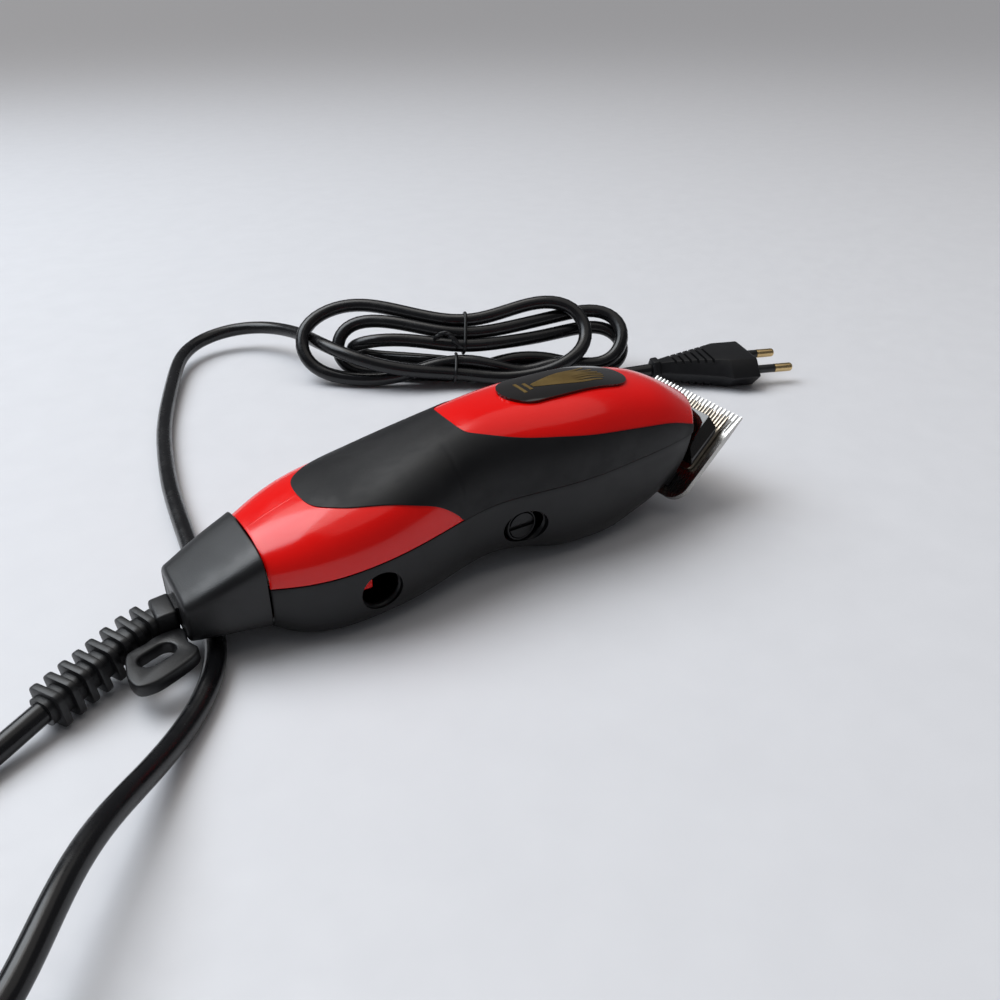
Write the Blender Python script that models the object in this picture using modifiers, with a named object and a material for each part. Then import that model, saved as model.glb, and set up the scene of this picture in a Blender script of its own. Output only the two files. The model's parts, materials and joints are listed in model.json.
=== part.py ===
"""Corded hair clipper: two-part housing with a soft grip, a vibrating magnet motor, a blade set with a
taper lever, a power screw, a slide switch and a mains lead with a flat two-pin plug.

The clipper lies on its belly with the blade towards +X, its own left side towards +Y and the table at z = 0.
Sizes below are in millimetres in the housing's own frame, where x = 0 is the joint between end cap and housing.
"""
import math

import bmesh
import bpy
from mathutils import Matrix, Vector

MM = 0.001
ORIGIN_X = 21.0          # the rear rest pad's centre, where the part's own origin lies
GAP = 0.3                # clearance between pieces that touch
WALL = 2.2               # housing wall

# Housing outline: (x, value) pairs along the body
CREST = [(0, 32), (10, 36), (20, 38.9), (32, 41.2), (45, 44.5), (60, 48.5), (75, 51.4), (90, 52.3), (104, 52.2),
         (118, 51.6), (130, 49.4), (140, 46), (150, 37.8)]
PARTING = [(0, 21.2), (14, 22), (30, 23.5), (46, 25.2), (62, 27), (90, 28.8), (120, 29.3), (140, 30.4), (150, 31.1)]
BELLY = [(0, 5), (6, 1.2), (12, -0.6), (30, -0.6), (45, 0.6), (62, 3.6), (74, 4.8), (86, 3), (96, 0.2),
         (104, -0.6), (118, -0.6), (130, 2.2), (142, 4.8), (150, 7)]
HALF_WIDTH = [(0, 17), (8, 20.8), (20, 24.2), (40, 24.6), (55, 22.4), (70, 20.6), (85, 22.4), (100, 24.2),
              (112, 24), (125, 23), (140, 21.9), (150, 20.3)]
UPPER_SQUARENESS = 2.65
LOWER_SQUARENESS = 3.9
BODY_LENGTH = 150.0
NOSE_START = 115.0       # the front edge starts to lean and bulge here
NOSE_BULGE = 9.5
FRONT_LEAN = 0.0175      # how far the lower front edge falls back, per square of the drop
LEAN_HEIGHT = 34.0
SIDE_STEPS = 20          # points round half a section

# Soft grip outline on one side: (x, angle up from the parting line in degrees)
GRIP_LOWER = [(16.5, 90), (17.8, 76), (21.5, 66.5), (26, 58.7), (34, 48), (39, 39.6), (44.6, 29), (50.7, 17.5),
              (55.6, 6.3), (58.5, 0)]
GRIP_UPPER = [(65.3, 90), (66, 73), (69, 62), (75.6, 50), (84, 41), (94, 35.3), (108, 28.6), (125, 23.2),
              (138, 20.5), (150, 18)]
GRIP_THICK = 1.0
GRIP_ROWS = 6

# Blade set, in its own frame: x from heel to tooth tips, z away from the cutting face into the housing
BLADE_HEEL = (144.8, 0.0, 5.1)
BLADE_TILT = 45.0
BLADE_LENGTH = 38.0
BLADE_HALF_WIDTH = 23.0
TOOTH_COUNT = 24
TOOTH_LENGTH = 8.0
FINE_TOOTH_COUNT = 26

# Motor
ARMATURE_PIVOT = (45.0, -10.1)
DRIVE_TIP = (153.0, 0.0, 26.7)

# Cord: routes as hand-placed points, with the centre line's height last
CORD_RADIUS = 3.1
LEAD_ROUTE = [(-61.6, -15.8, 6), (-74, -22.9, 4.2), (-88, -31.5, 3.3), (-101, -41.5, 3.3), (-112, -54, 3.3),
              (-118.5, -69, 3.4), (-119.5, -85, 4.6), (-113, -99, 7), (-100, -107, 10.2), (-85.5, -105, 13.2),
              (-74, -94, 15), (-66, -81, 15), (-57.5, -69, 13.6), (-50, -60, 10.6), (-43.6, -51.6, 7.4),
              (-38.2, -45, 5), (-33, -39.2, 3.7), (-27.9, -33.2, 3.3), (-22.6, -25.8, 3.3), (-18, -17, 3.3),
              (-15.2, -8.5, 3.3), (-13.6, 0, 3.3), (-11.8, 14, 3.3), (-9.6, 28, 3.3), (-7.4, 45, 3.3), (-5.4, 64, 3.3),
              (-2.6, 87, 3.3), (1.9, 111.7, 3.3), (8.5, 139.5, 3.3), (17.4, 167, 3.6), (26, 189.5, 4.6),
              (33.7, 206.5, 5.8), (43.7, 219.3, 7.2), (57, 224.6, 8.8), (70.3, 221.2, 10.4), (79.8, 211, 12),
              (84.9, 197, 13.7), (88.4, 181, 15.2)]
TAIL_ROUTE = [(199.2, 80.2, 5.2), (206, 77.6, 6.2), (213.6, 74.8, 7)]
HANK_BASE = (128.0, 126.0, 3.0)
HANK_TURN = -32.2
HANK_LEAN = 45.0
HANK_LEFT = -62.0
HANK_RIGHT = 98.0
HANK_LOW = 3.6
HANK_HIGH = 41.0
HANK_THICK = 14.0
PLUG_FACE = (259.0, 58.0, 7.0)
PLUG_TURN = -20.0

# Strain relief axis: (x, y, z)
RELIEF_AXIS = [(-30.7, 0.3, 9.4), (-34.8, -1.2, 9.0), (-39, -2.9, 8.3), (-43.1, -5.2, 7.8), (-47, -7.2, 7.2),
               (-50.9, -9.2, 6.8), (-54.7, -11.5, 6.4), (-58.5, -13.8, 6.1)]

# Colours: (red, green, blue), roughness, metallic
RED = ((0.80, 0.012, 0.008), 0.18, 0.0)
SOFT_BLACK = ((0.018, 0.018, 0.02), 0.55, 0.0)
SATIN_BLACK = ((0.016, 0.016, 0.018), 0.35, 0.0)
TEXTURED_BLACK = ((0.022, 0.022, 0.024), 0.6, 0.0)
GLOSS_BLACK = ((0.01, 0.01, 0.011), 0.12, 0.0)
STEEL = ((0.62, 0.62, 0.63), 0.25, 1.0)
DARK_STEEL = ((0.30, 0.27, 0.22), 0.35, 1.0)
LAMINATION = ((0.25, 0.25, 0.27), 0.45, 1.0)
COPPER = ((0.55, 0.22, 0.09), 0.35, 1.0)
NYLON = ((0.75, 0.73, 0.66), 0.5, 0.0)
BRASS = ((0.70, 0.52, 0.24), 0.25, 1.0)
BROWN_WIRE = ((0.20, 0.07, 0.03), 0.45, 0.0)
BLUE_WIRE = ((0.03, 0.12, 0.45), 0.45, 0.0)


def start_scene():
    """Empties the scene and makes the two collections."""
    for obj in list(bpy.data.objects):
        bpy.data.objects.remove(obj, do_unlink=True)
    parts = bpy.data.collections.new("hair_clipper")
    cutters = bpy.data.collections.new("cutters")
    bpy.context.scene.collection.children.link(parts)
    bpy.context.scene.collection.children.link(cutters)
    return parts, cutters


PARTS, CUTTERS = start_scene()


def make_empty(name, location, turn=(0, 0, 0), parent=None):
    """An empty that carries the pieces of one group."""
    empty = bpy.data.objects.new(name, None)
    PARTS.objects.link(empty)
    empty.parent = parent
    empty.location = [value * MM for value in location]
    empty.rotation_euler = [math.radians(value) for value in turn]
    return empty


BODY = make_empty("body_frame", (-ORIGIN_X, 0, 0))
BLADES = make_empty("blade_frame", BLADE_HEEL, (0, -BLADE_TILT, 0), BODY)
PLUG = make_empty("plug_frame", PLUG_FACE, (0, 0, PLUG_TURN), BODY)
HANK = make_empty("hank_frame", HANK_BASE, (HANK_LEAN, 0, HANK_TURN), BODY)


def move_to(obj, collection, parent):
    """Puts an object in one collection and under its parent, keeping its local place."""
    for other in list(obj.users_collection):
        other.objects.unlink(obj)
    collection.objects.link(obj)
    obj.parent = parent
    return obj


def paint(obj, colour):
    """Gives the object its own Principled material."""
    (red, green, blue), roughness, metallic = colour
    material = bpy.data.materials.new(obj.name)
    material.use_nodes = True
    shader = material.node_tree.nodes["Principled BSDF"]
    shader.inputs["Base Color"].default_value = (red, green, blue, 1)
    shader.inputs["Roughness"].default_value = roughness
    shader.inputs["Metallic"].default_value = metallic
    obj.data.materials.clear()
    obj.data.materials.append(material)


def part(obj, colour, parent=None, smooth=True):
    """Finishes an object as one of the clipper's pieces."""
    move_to(obj, PARTS, parent or BODY)
    paint(obj, colour)
    if smooth and obj.type == "MESH":
        obj.data.shade_smooth()
        obj.data.set_sharp_from_angle(angle=math.radians(35))
    return obj


def cutter(obj, parent=None):
    """Finishes an object as a cutting guide."""
    move_to(obj, CUTTERS, parent or BODY)
    obj.hide_render = True
    obj.display_type = "WIRE"
    return obj


def box(name, low, high, bevel=0.0):
    """A box between two corners, with its scale applied."""
    centre = [(a + b) / 2 * MM for a, b in zip(low, high)]
    bpy.ops.mesh.primitive_cube_add(size=1, location=centre)
    obj = bpy.context.object
    obj.name = name
    obj.scale = [(b - a) * MM for a, b in zip(low, high)]
    bpy.ops.object.transform_apply(location=False, rotation=False, scale=True)
    if bevel:
        edge = obj.modifiers.new("edges", "BEVEL")
        edge.width = bevel * MM
        edge.segments = 1
    return obj


def rod(name, radius, start, end, sides=16, end_radius=None):
    """A cylinder or cone between two points."""
    start, end = Vector(start) * MM, Vector(end) * MM
    along = end - start
    turn = Vector((0, 0, 1)).rotation_difference(along).to_euler()
    far = radius if end_radius is None else end_radius
    bpy.ops.mesh.primitive_cone_add(vertices=sides, radius1=radius * MM, radius2=far * MM, depth=along.length,
                                    location=(start + end) / 2, rotation=turn)
    obj = bpy.context.object
    obj.name = name
    return obj


def boolean(obj, other, operation):
    """Adds a Boolean modifier."""
    step = obj.modifiers.new(other.name, "BOOLEAN")
    step.operation = operation
    step.object = other
    return step


def joined(name, objects):
    """One object out of several that don't touch each other."""
    bpy.context.view_layer.update()
    with bpy.context.temp_override(active_object=objects[0], object=objects[0], selected_objects=objects,
                                   selected_editable_objects=objects):
        bpy.ops.object.join()
    objects[0].name = name
    return objects[0]


def mesh_object(name, build):
    """Makes a mesh object from a function that fills a bmesh, in millimetres."""
    shape = bmesh.new()
    build(shape)
    bmesh.ops.scale(shape, vec=(MM, MM, MM), verts=shape.verts)
    mesh = bpy.data.meshes.new(name)
    shape.to_mesh(mesh)
    shape.free()
    obj = bpy.data.objects.new(name, mesh)
    bpy.context.scene.collection.objects.link(obj)
    return obj


def bridge(shape, rings, closed_rings=True, caps=False, wrap=False):
    """Joins rings of points, in order, with quads."""
    rows = [[shape.verts.new(point) for point in ring] for ring in rings]
    pairs = list(zip(rows, rows[1:]))
    if wrap:
        pairs.append((rows[-1], rows[0]))
    for near, far in pairs:
        count = len(near)
        for i in range(count if closed_rings else count - 1):
            j = (i + 1) % count
            shape.faces.new((near[i], far[i], far[j], near[j]))
    if caps:
        shape.faces.new(rows[0])
        shape.faces.new(list(reversed(rows[-1])))
    return rows


def loft(name, rings, wrap=False):
    """A closed solid through rings of points."""
    def build(shape):
        bridge(shape, rings, caps=not wrap, wrap=wrap)
        bmesh.ops.recalc_face_normals(shape, faces=shape.faces)
    return mesh_object(name, build)


def stepped_rod(name, centre, steps):
    """An upright turned pin with a (radius, z) step list."""
    rings = []
    for radius, z in steps:
        rings.append([(x, y, z) for x, y in arc(centre, radius, 0, 360 - 360 / 14, 13)])
    return loft(name, rings)


def curve_mesh(name, points, radius, resolution=2):
    """A round wire along points, as a mesh with welded caps."""
    data = bpy.data.curves.new(name, "CURVE")
    data.dimensions = "3D"
    data.bevel_depth = radius * MM
    data.bevel_resolution = resolution
    data.use_fill_caps = True
    spline = data.splines.new("POLY")
    spline.points.add(len(points) - 1)
    for target, point in zip(spline.points, points):
        target.co = (*[value * MM for value in point], 1)
    obj = bpy.data.objects.new(name, data)
    bpy.context.scene.collection.objects.link(obj)
    return obj


def plate_curve(name, outlines, low, high):
    """A flat plate from closed outlines: the first is its edge and any others are holes."""
    data = bpy.data.curves.new(name, "CURVE")
    data.dimensions = "2D"
    data.fill_mode = "BOTH"
    data.extrude = (high - low) / 2 * MM
    for outline in outlines:
        spline = data.splines.new("POLY")
        spline.points.add(len(outline) - 1)
        for target, point in zip(spline.points, outline):
            target.co = (point[0] * MM, point[1] * MM, 0, 1)
        spline.use_cyclic_u = True
    obj = bpy.data.objects.new(name, data)
    obj.location = (0, 0, (low + high) / 2 * MM)
    bpy.context.scene.collection.objects.link(obj)
    return obj


def arc(centre, radius, start, end, steps, stretch=1.0):
    """Points on an arc in the plane, angles in degrees."""
    points = []
    for i in range(steps + 1):
        angle = math.radians(start + (end - start) * i / steps)
        points.append((centre[0] + radius * stretch * math.cos(angle), centre[1] + radius * math.sin(angle)))
    return points


def smooth_value(table, x):
    """A smooth curve through (x, value) pairs."""
    index = 0
    while index < len(table) - 2 and x > table[index + 1][0]:
        index += 1

    def slope(i):
        low, high = max(i - 1, 0), min(i + 1, len(table) - 1)
        return (table[high][1] - table[low][1]) / (table[high][0] - table[low][0])

    (x0, y0), (x1, y1) = table[index], table[index + 1]
    span = x1 - x0
    u = (x - x0) / span
    return (y0 * (2 * u**3 - 3 * u**2 + 1) + slope(index) * span * (u**3 - 2 * u**2 + u)
            + y1 * (3 * u**2 - 2 * u**3) + slope(index + 1) * span * (u**3 - u**2))


def signed_power(value, power):
    """Keeps the sign while raising the size to a power."""
    return math.copysign(abs(value) ** power, value)


def body_point(x, angle, upper):
    """A point on the housing's outside: angle 0 is the left parting line, 90 the crest or the belly.

    An angle below 0 or over 180 runs on past the parting line.
    """
    half = smooth_value(HALF_WIDTH, x)
    split = smooth_value(PARTING, x)
    reach = smooth_value(CREST if upper else BELLY, x) - split
    power = 2 / (UPPER_SQUARENESS if upper else LOWER_SQUARENESS)
    beyond = min(angle, 0) - max(angle - 180, 0)
    angle = math.radians(min(max(angle, 0), 180))
    y = half * signed_power(math.cos(angle), power)
    z = split + reach * abs(math.sin(angle)) ** power + math.copysign(0.12, reach) * beyond
    if not upper:
        z = max(z, 0)
    ramp = min(max((x - NOSE_START) / (BODY_LENGTH - NOSE_START), 0), 1.1) ** 2
    bulge = NOSE_BULGE * ramp * (1 - min(abs(y) / half, 1) ** 1.8) if upper else 0
    lean = FRONT_LEAN * ramp * max(LEAN_HEIGHT - z, 0) ** 2
    return (x + bulge - lean, y, z)


def stations(start, end, count):
    """Even steps along the body."""
    return [start + (end - start) * i / (count - 1) for i in range(count)]


def shell(name, upper, x_values):
    """One half of the housing: an open surface with a wall grown inwards."""
    lift = GAP / 2 if upper else -GAP / 2

    def build(shape):
        rings = []
        for x in x_values:
            ring = []
            for i in range(SIDE_STEPS + 1):
                px, py, pz = body_point(x, 180 * i / SIDE_STEPS, upper)
                if i in (0, SIDE_STEPS):
                    pz += lift
                ring.append((px, py, pz))
            rings.append(ring)
        bridge(shape, rings, closed_rings=False)
        if upper:
            bmesh.ops.reverse_faces(shape, faces=list(shape.faces))
    obj = mesh_object(name, build)
    wall = obj.modifiers.new("wall", "SOLIDIFY")
    wall.thickness = WALL * MM
    wall.offset = -1
    wall.use_even_offset = True
    wall.use_quality_normals = True
    return obj


def grip_limits(x):
    """The grip's lower and upper edge at x, as angles up from the parting line."""
    lower = smooth_value(GRIP_LOWER, x) if x < GRIP_LOWER[-1][0] else 0
    upper = smooth_value(GRIP_UPPER, x) if x > GRIP_UPPER[0][0] else 90
    return min(max(lower, 0), 89.5), min(max(upper, 1), 90)


def grip_surface(shape, margin, end):
    """Half of the grip's surface on the left side, as a grid that is open where it meets the crest."""
    xs = [16.5 - margin, 17.4, 19.3, 22.5, 27, 33, 39, 44.6, 49, 53, 56.5, 58.7, 62, 65.2 + margin]
    xs += [66, 67.8, 71, 76, 83, 92, 101, 110, 119, 128, 136, 143, end]
    spread = margin * 2.4
    rows = []
    for x in xs:
        lower, upper = grip_limits(min(max(x, 16.6), BODY_LENGTH))
        if x < 16.9:
            lower = 85
        lower = lower - spread if lower > spread else (-spread if margin else lower)
        upper = 90 if x < 65.3 + margin else min(upper + spread, 89.9)
        row = []
        for i in range(GRIP_ROWS + 1):
            angle = lower + (upper - lower) * i / GRIP_ROWS
            px, py, pz = body_point(x, angle, True)
            if upper == 90 and i == GRIP_ROWS:
                py = 0.0
            if not margin and i == 0 and lower == 0:
                pz += GAP / 2
            row.append((px, py, pz))
        rows.append(row)
    bridge(shape, rows, closed_rings=False)
    bmesh.ops.reverse_faces(shape, faces=list(shape.faces))


def grip_solid(name, margin, inwards, outwards, end):
    """The grip's skin, or the pocket for it, mirrored over the crest."""
    obj = mesh_object(name, lambda shape: grip_surface(shape, margin, end))
    halves = obj.modifiers.new("halves", "MIRROR")
    halves.use_axis = (False, True, False)
    halves.merge_threshold = 0.00005
    skin = obj.modifiers.new("skin", "SOLIDIFY")
    skin.thickness = (inwards + outwards) * MM
    skin.offset = (outwards - inwards) / (outwards + inwards)
    skin.use_quality_normals = True
    return obj


def make_housing():
    """Red upper shell, black lower shell, soft grip and badge."""
    x_values = [0.15, 3, 7, 12, 17] + stations(24, 143, 15) + [BODY_LENGTH]
    upper = part(shell("upper_housing", True, x_values), RED)
    lower = part(shell("lower_housing", False, x_values), SATIN_BLACK)

    pocket = cutter(grip_solid("grip_pocket", 0.3, GRIP_THICK + GAP, 2.5, 153))
    boolean(upper, pocket, "DIFFERENCE")
    part(grip_solid("grip_overmould", 0.0, GRIP_THICK, 0.0, BODY_LENGTH), SOFT_BLACK)

    profile = [(-21.5, 14), (-21.5, 24.2), (-23.2, 25), (-23.2, 27.4)]
    upper_extra = [loft("skirt_tab", [[(23.4, y, z), (28.4, y, z), (28.4, -20.2, z), (23.4, -20.2, z)]
                                      for y, z in profile])]
    upper_cuts, lower_extra, lower_cuts = [], [], []
    for index, (x, y) in enumerate(HOUSING_SCREWS):
        top = smooth_value(CREST, x) - (2.0 if y == 0 else 4.2)
        upper_extra.append(rod(f"upper_boss_{index}", 3.4, (x, y, 16.6), (x, y, top), 12))
        upper_cuts.append(rod(f"upper_bore_{index}", 1.6, (x, y, 16), (x, y, 26), 10))
        floor = max(smooth_value(BELLY, x), 0)
        lower_extra.append(rod(f"lower_boss_{index}", 4.6, (x, y, floor + 0.8), (x, y, 16.2), 14))
        steps = [(3.5, -2), (3.5, floor + 5), (1.9, floor + 5), (1.9, 18)]
        lower_cuts.append(stepped_rod(f"lower_bore_{index}", (x, y), steps))
        head = floor + 5 - GAP
        screw = rod(f"housing_screw_{index + 1}", 3.1, (x, y, head - 2.2), (x, y, head), 14)
        shank = cutter(rod(f"housing_shank_{index}", 1.35, (x, y, head - 0.5), (x, y, 25), 10))
        boolean(screw, shank, "UNION")
        slot = cutter(box(f"housing_slot_{index}", (x - 4, y - 0.4, head - 3), (x + 4, y + 0.4, head - 1.4)))
        boolean(screw, slot, "DIFFERENCE")
        part(screw, STEEL)

    for index, (x, y) in enumerate(MOTOR_SCREWS):
        floor = max(smooth_value(BELLY, x), 0)
        lower_extra.append(rod(f"motor_boss_{index}", 3.4, (x, y, floor + 0.8), (x, y, 15.7), 12))
        lower_cuts.append(rod(f"motor_bore_{index}", 1.8, (x, y, 10.8), (x, y, 18), 10))

    lower_cuts.append(rod("side_window", 6.0, (30, -30, 14), (30, -16, 14), 20))
    oval = arc((81, 16.4), 5.8, 0, 342, 19, 1.28)
    lower_cuts.append(loft("screw_window", [[(x, y, z) for x, z in oval] for y in (-30, -12)]))
    lower_cuts.append(box("switch_window", (41.5, 19, 9.6), (52.5, 30, 14.4)))
    lower_cuts.append(rod("lever_window", 3.3, (130, 18, 17), (130, 30, 17), 16))
    boolean(upper, cutter(joined("upper_extra", upper_extra)), "UNION")
    boolean(upper, cutter(joined("upper_cuts", upper_cuts)), "DIFFERENCE")
    boolean(lower, cutter(joined("lower_extra", lower_extra)), "UNION")
    boolean(lower, cutter(joined("lower_cuts", lower_cuts)), "DIFFERENCE")

    outline = arc((123.8, 0), 9.2, -90, 90, 8) + arc((94.2, 0), 9.2, 90, 270, 8)
    rings = []
    for lift, inset in ((-1.2, 0), (0.5, 0), (1.0, 0.6)):
        ring = []
        for x, y in outline:
            px = 109 + (x - 109) * (1 - inset / 24)
            py = y * (1 - inset / 9.2)
            ring.append((px, py, badge_height(px, py) + lift))
        rings.append(ring)
    part(loft("badge_plate", rings), GLOSS_BLACK)
    pocket = [[(x + math.copysign(0.35, x - 109), y * 1.04, badge_height(x, y) + lift) for x, y in outline]
              for lift in (-1.5, 4)]
    boolean(upper, cutter(loft("badge_pocket", pocket)), "DIFFERENCE")


def badge_height(x, y):
    """The crest's height under the badge."""
    half = smooth_value(HALF_WIDTH, x)
    split = smooth_value(PARTING, x)
    reach = smooth_value(CREST, x) - split
    side = min(abs(y) / half, 0.99) ** (UPPER_SQUARENESS / 2)
    return split + reach * math.sqrt(1 - side**2) ** (2 / UPPER_SQUARENESS)


def cap_ring(x, half, top, bottom, split, inset=0.0):
    """One section of the end cap."""
    ring = []
    for i in range(28):
        angle = 2 * math.pi * (i + 0.5) / 28
        squareness = 2.7 if math.sin(angle) > 0 else 3.6
        reach = (top - inset - split) if math.sin(angle) > 0 else (split - bottom - inset)
        y = (half - inset) * signed_power(math.cos(angle), 2 / squareness)
        ring.append((x, y, split + reach * signed_power(math.sin(angle), 2 / squareness)))
    return ring


def make_end_cap():
    """Tapered end cap with a square hole for the strain relief's neck."""
    shape = [(-0.15, 17.0, 32.0, 5.6, 21.0), (-3, 16.6, 30.7, 6.2, 20.3), (-9, 15.7, 28.0, 6.9, 18.8),
             (-15.5, 14.4, 24.9, 7.4, 16.9), (-21.3, 12.9, 22.2, 7.9, 15.2)]
    outer = [cap_ring(*row) for row in shape]
    outer.append(cap_ring(-22.3, 12.1, 21.4, 8.4, 15.0))
    hole = [cap_ring(x, 4.3, 16.6, 9.8, 13.2) for x in (-22.3, -20.1)]
    hole = [[(x, y - 0.4, z) for x, y, z in ring] for ring in hole]
    inner = [cap_ring(x, half, top, bottom, split, WALL) for x, half, top, bottom, split in reversed(shape[1:])]
    inner[0] = [(-20.1, y, z) for x, y, z in inner[0]]
    inner.append(cap_ring(-0.15, *shape[0][1:], WALL))
    part(loft("end_cap", outer + hole + inner, wrap=True), TEXTURED_BLACK)


def relief_ring(centre, heading, width, height):
    """A rectangle with cut corners, square to the heading in plan."""
    side = Vector((-heading[1], heading[0], 0)).normalized()
    ring = []
    cut = 0.18
    for across, up in ((-0.5 + cut, -0.5), (0.5 - cut, -0.5), (0.5, -0.5 + cut), (0.5, 0.5 - cut), (0.5 - cut, 0.5),
                       (-0.5 + cut, 0.5), (-0.5, 0.5 - cut), (-0.5, -0.5 + cut)):
        point = Vector(centre) + side * across * width + Vector((0, 0, up * height))
        ring.append(tuple(point))
    return ring


def make_strain_relief():
    """Collar, neck and ribbed sleeve as one rubber moulding, and the hanging tab beside it."""
    straight = (-1, 0, 0)
    rings = [relief_ring((-17.9, -0.4, 13.9), straight, 11.5, 6.6), relief_ring((-19.7, -0.4, 13.9), straight, 11.5, 6.6),
             relief_ring((-19.8, -0.4, 13.2), straight, 7.6, 5.8), relief_ring((-22.55, -0.4, 13.2), straight, 7.6, 5.8),
             relief_ring((-22.65, -0.2, 11.2), straight, 10.8, 9.8),
             relief_ring((-28.4, 0, 11), (-1, 0, 0), 10.8, 9.8)]
    axis = [Vector(point) for point in RELIEF_AXIS]
    for index, centre in enumerate(axis):
        ahead = axis[min(index + 1, len(axis) - 1)] - axis[max(index - 1, 0)]
        ahead.normalize()
        width = 11.4 - 0.08 * index
        height = 11.3 - 0.04 * index
        rings.append(relief_ring(centre - ahead * 1.15, ahead, 7.6, 7.6))
        rings.append(relief_ring(centre - ahead * 1.05, ahead, width, height))
        rings.append(relief_ring(centre + ahead * 1.05, ahead, width, height))
        rings.append(relief_ring(centre + ahead * 1.15, ahead, 7.6, 7.6))
    last = Vector((-0.86, -0.51, 0))
    rings.append(relief_ring(axis[-1] + last * 2.6, last, 7.4, 7.4))
    part(loft("strain_relief", rings), TEXTURED_BLACK, smooth=False)

    edge = [(-22.7, -6.2), (-29.8, -6.2), (-33.6, -8.0), (-38.0, -9.6), (-39.9, -16.4), (-40.1, -20.4),
            (-38.6, -24.4), (-35, -25.1), (-32.4, -24.5), (-24, -20.6), (-21.8, -18.8), (-21.2, -16.4), (-22.6, -13)]
    turn = Matrix.Rotation(math.radians(22), 2)
    slot = arc((2.3, 0), 3.0, -90, 90, 6) + arc((-2.3, 0), 3.0, 90, 270, 6)
    slot = [tuple(turn @ Vector(point) + Vector((-31.4, -14.2))) for point in slot]
    part(plate_curve("hanging_tab", [edge, slot], 6.9, 10.9), TEXTURED_BLACK)


def smooth_route(points, spacing):
    """Points read from a smooth curve through a route's own points."""
    places = [Vector(point) for point in points]
    result = []
    for i in range(len(places) - 1):
        before, start = places[max(i - 1, 0)], places[i]
        end, after = places[i + 1], places[min(i + 2, len(places) - 1)]
        steps = max(1, round((end - start).length / spacing))
        for k in range(steps):
            u = k / steps
            point = 0.5 * ((2 * start) + (end - before) * u + (2 * before - 5 * start + 4 * end - after) * u**2
                           + (3 * start - before - 3 * end + after) * u**3)
            result.append(tuple(point))
    result.append(tuple(places[-1]))
    return result


def make_cord():
    """Lead, tied hank and tail of the mains cord, with the tie and the plug."""
    part(curve_mesh("cord_lead", smooth_route(LEAD_ROUTE, 13), CORD_RADIUS), GLOSS_BLACK)
    part(curve_mesh("cord_tail", smooth_route(TAIL_ROUTE, 13), CORD_RADIUS), GLOSS_BLACK)
    radius = (HANK_HIGH - HANK_LOW) / 2
    middle = (HANK_HIGH + HANK_LOW) / 2
    outline = arc((HANK_RIGHT - radius, middle), radius, -90, 90, 12)
    outline += arc((HANK_LEFT + radius, middle), radius, 90, 270, 12)
    part(plate_curve("cord_hank", [outline], -HANK_THICK / 2, HANK_THICK / 2), GLOSS_BLACK, HANK)
    top = HANK_THICK / 2 + GAP + 0.6
    part(curve_mesh("twist_tie", [(10, HANK_LOW + 3, top), (10.5, 15, top), (10, 27, top), (10, HANK_HIGH - 3, top)],
                    0.6, 1), SATIN_BLACK, HANK)

    def hexagon(x, half_y, half_z, flat):
        return [(x, -half_y, 0), (x, -flat, -half_z), (x, flat, -half_z), (x, half_y, 0), (x, flat, half_z),
                (x, -flat, half_z)]
    rings = [hexagon(0, 16.9, 6.2, 10.6), hexagon(-0.8, 17.6, 6.7, 11), hexagon(-13.5, 17.6, 6.7, 11),
             hexagon(-16.5, 14.6, 6.7, 9.6), hexagon(-26, 10.6, 6.2, 6.6), hexagon(-38, 6.4, 5.2, 3.6),
             hexagon(-43.6, 4.6, 4.4, 2.4), hexagon(-44.2, 5.8, 5.4, 3.0), hexagon(-47.2, 5.4, 5.0, 2.8)]
    body = loft("plug_body", rings)
    for side, y in (("left", 9.3), ("right", -9.3)):
        boolean(body, cutter(rod(f"pin_socket_{side}", 2.35, (-9, y, 0), (1, y, 0), 12), PLUG), "DIFFERENCE")
        part(rod(f"plug_pin_{side}", 2.0, (-8.6, y, 0), (19, y, 0), 12), BRASS, PLUG)
    part(body, SATIN_BLACK, PLUG)


HOUSING_SCREWS = [(38.0, 0.0), (119.5, 13.0), (119.5, -13.0)]
MOTOR_SCREWS = [(56.0, 8.5), (88.0, 8.5)]


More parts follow.
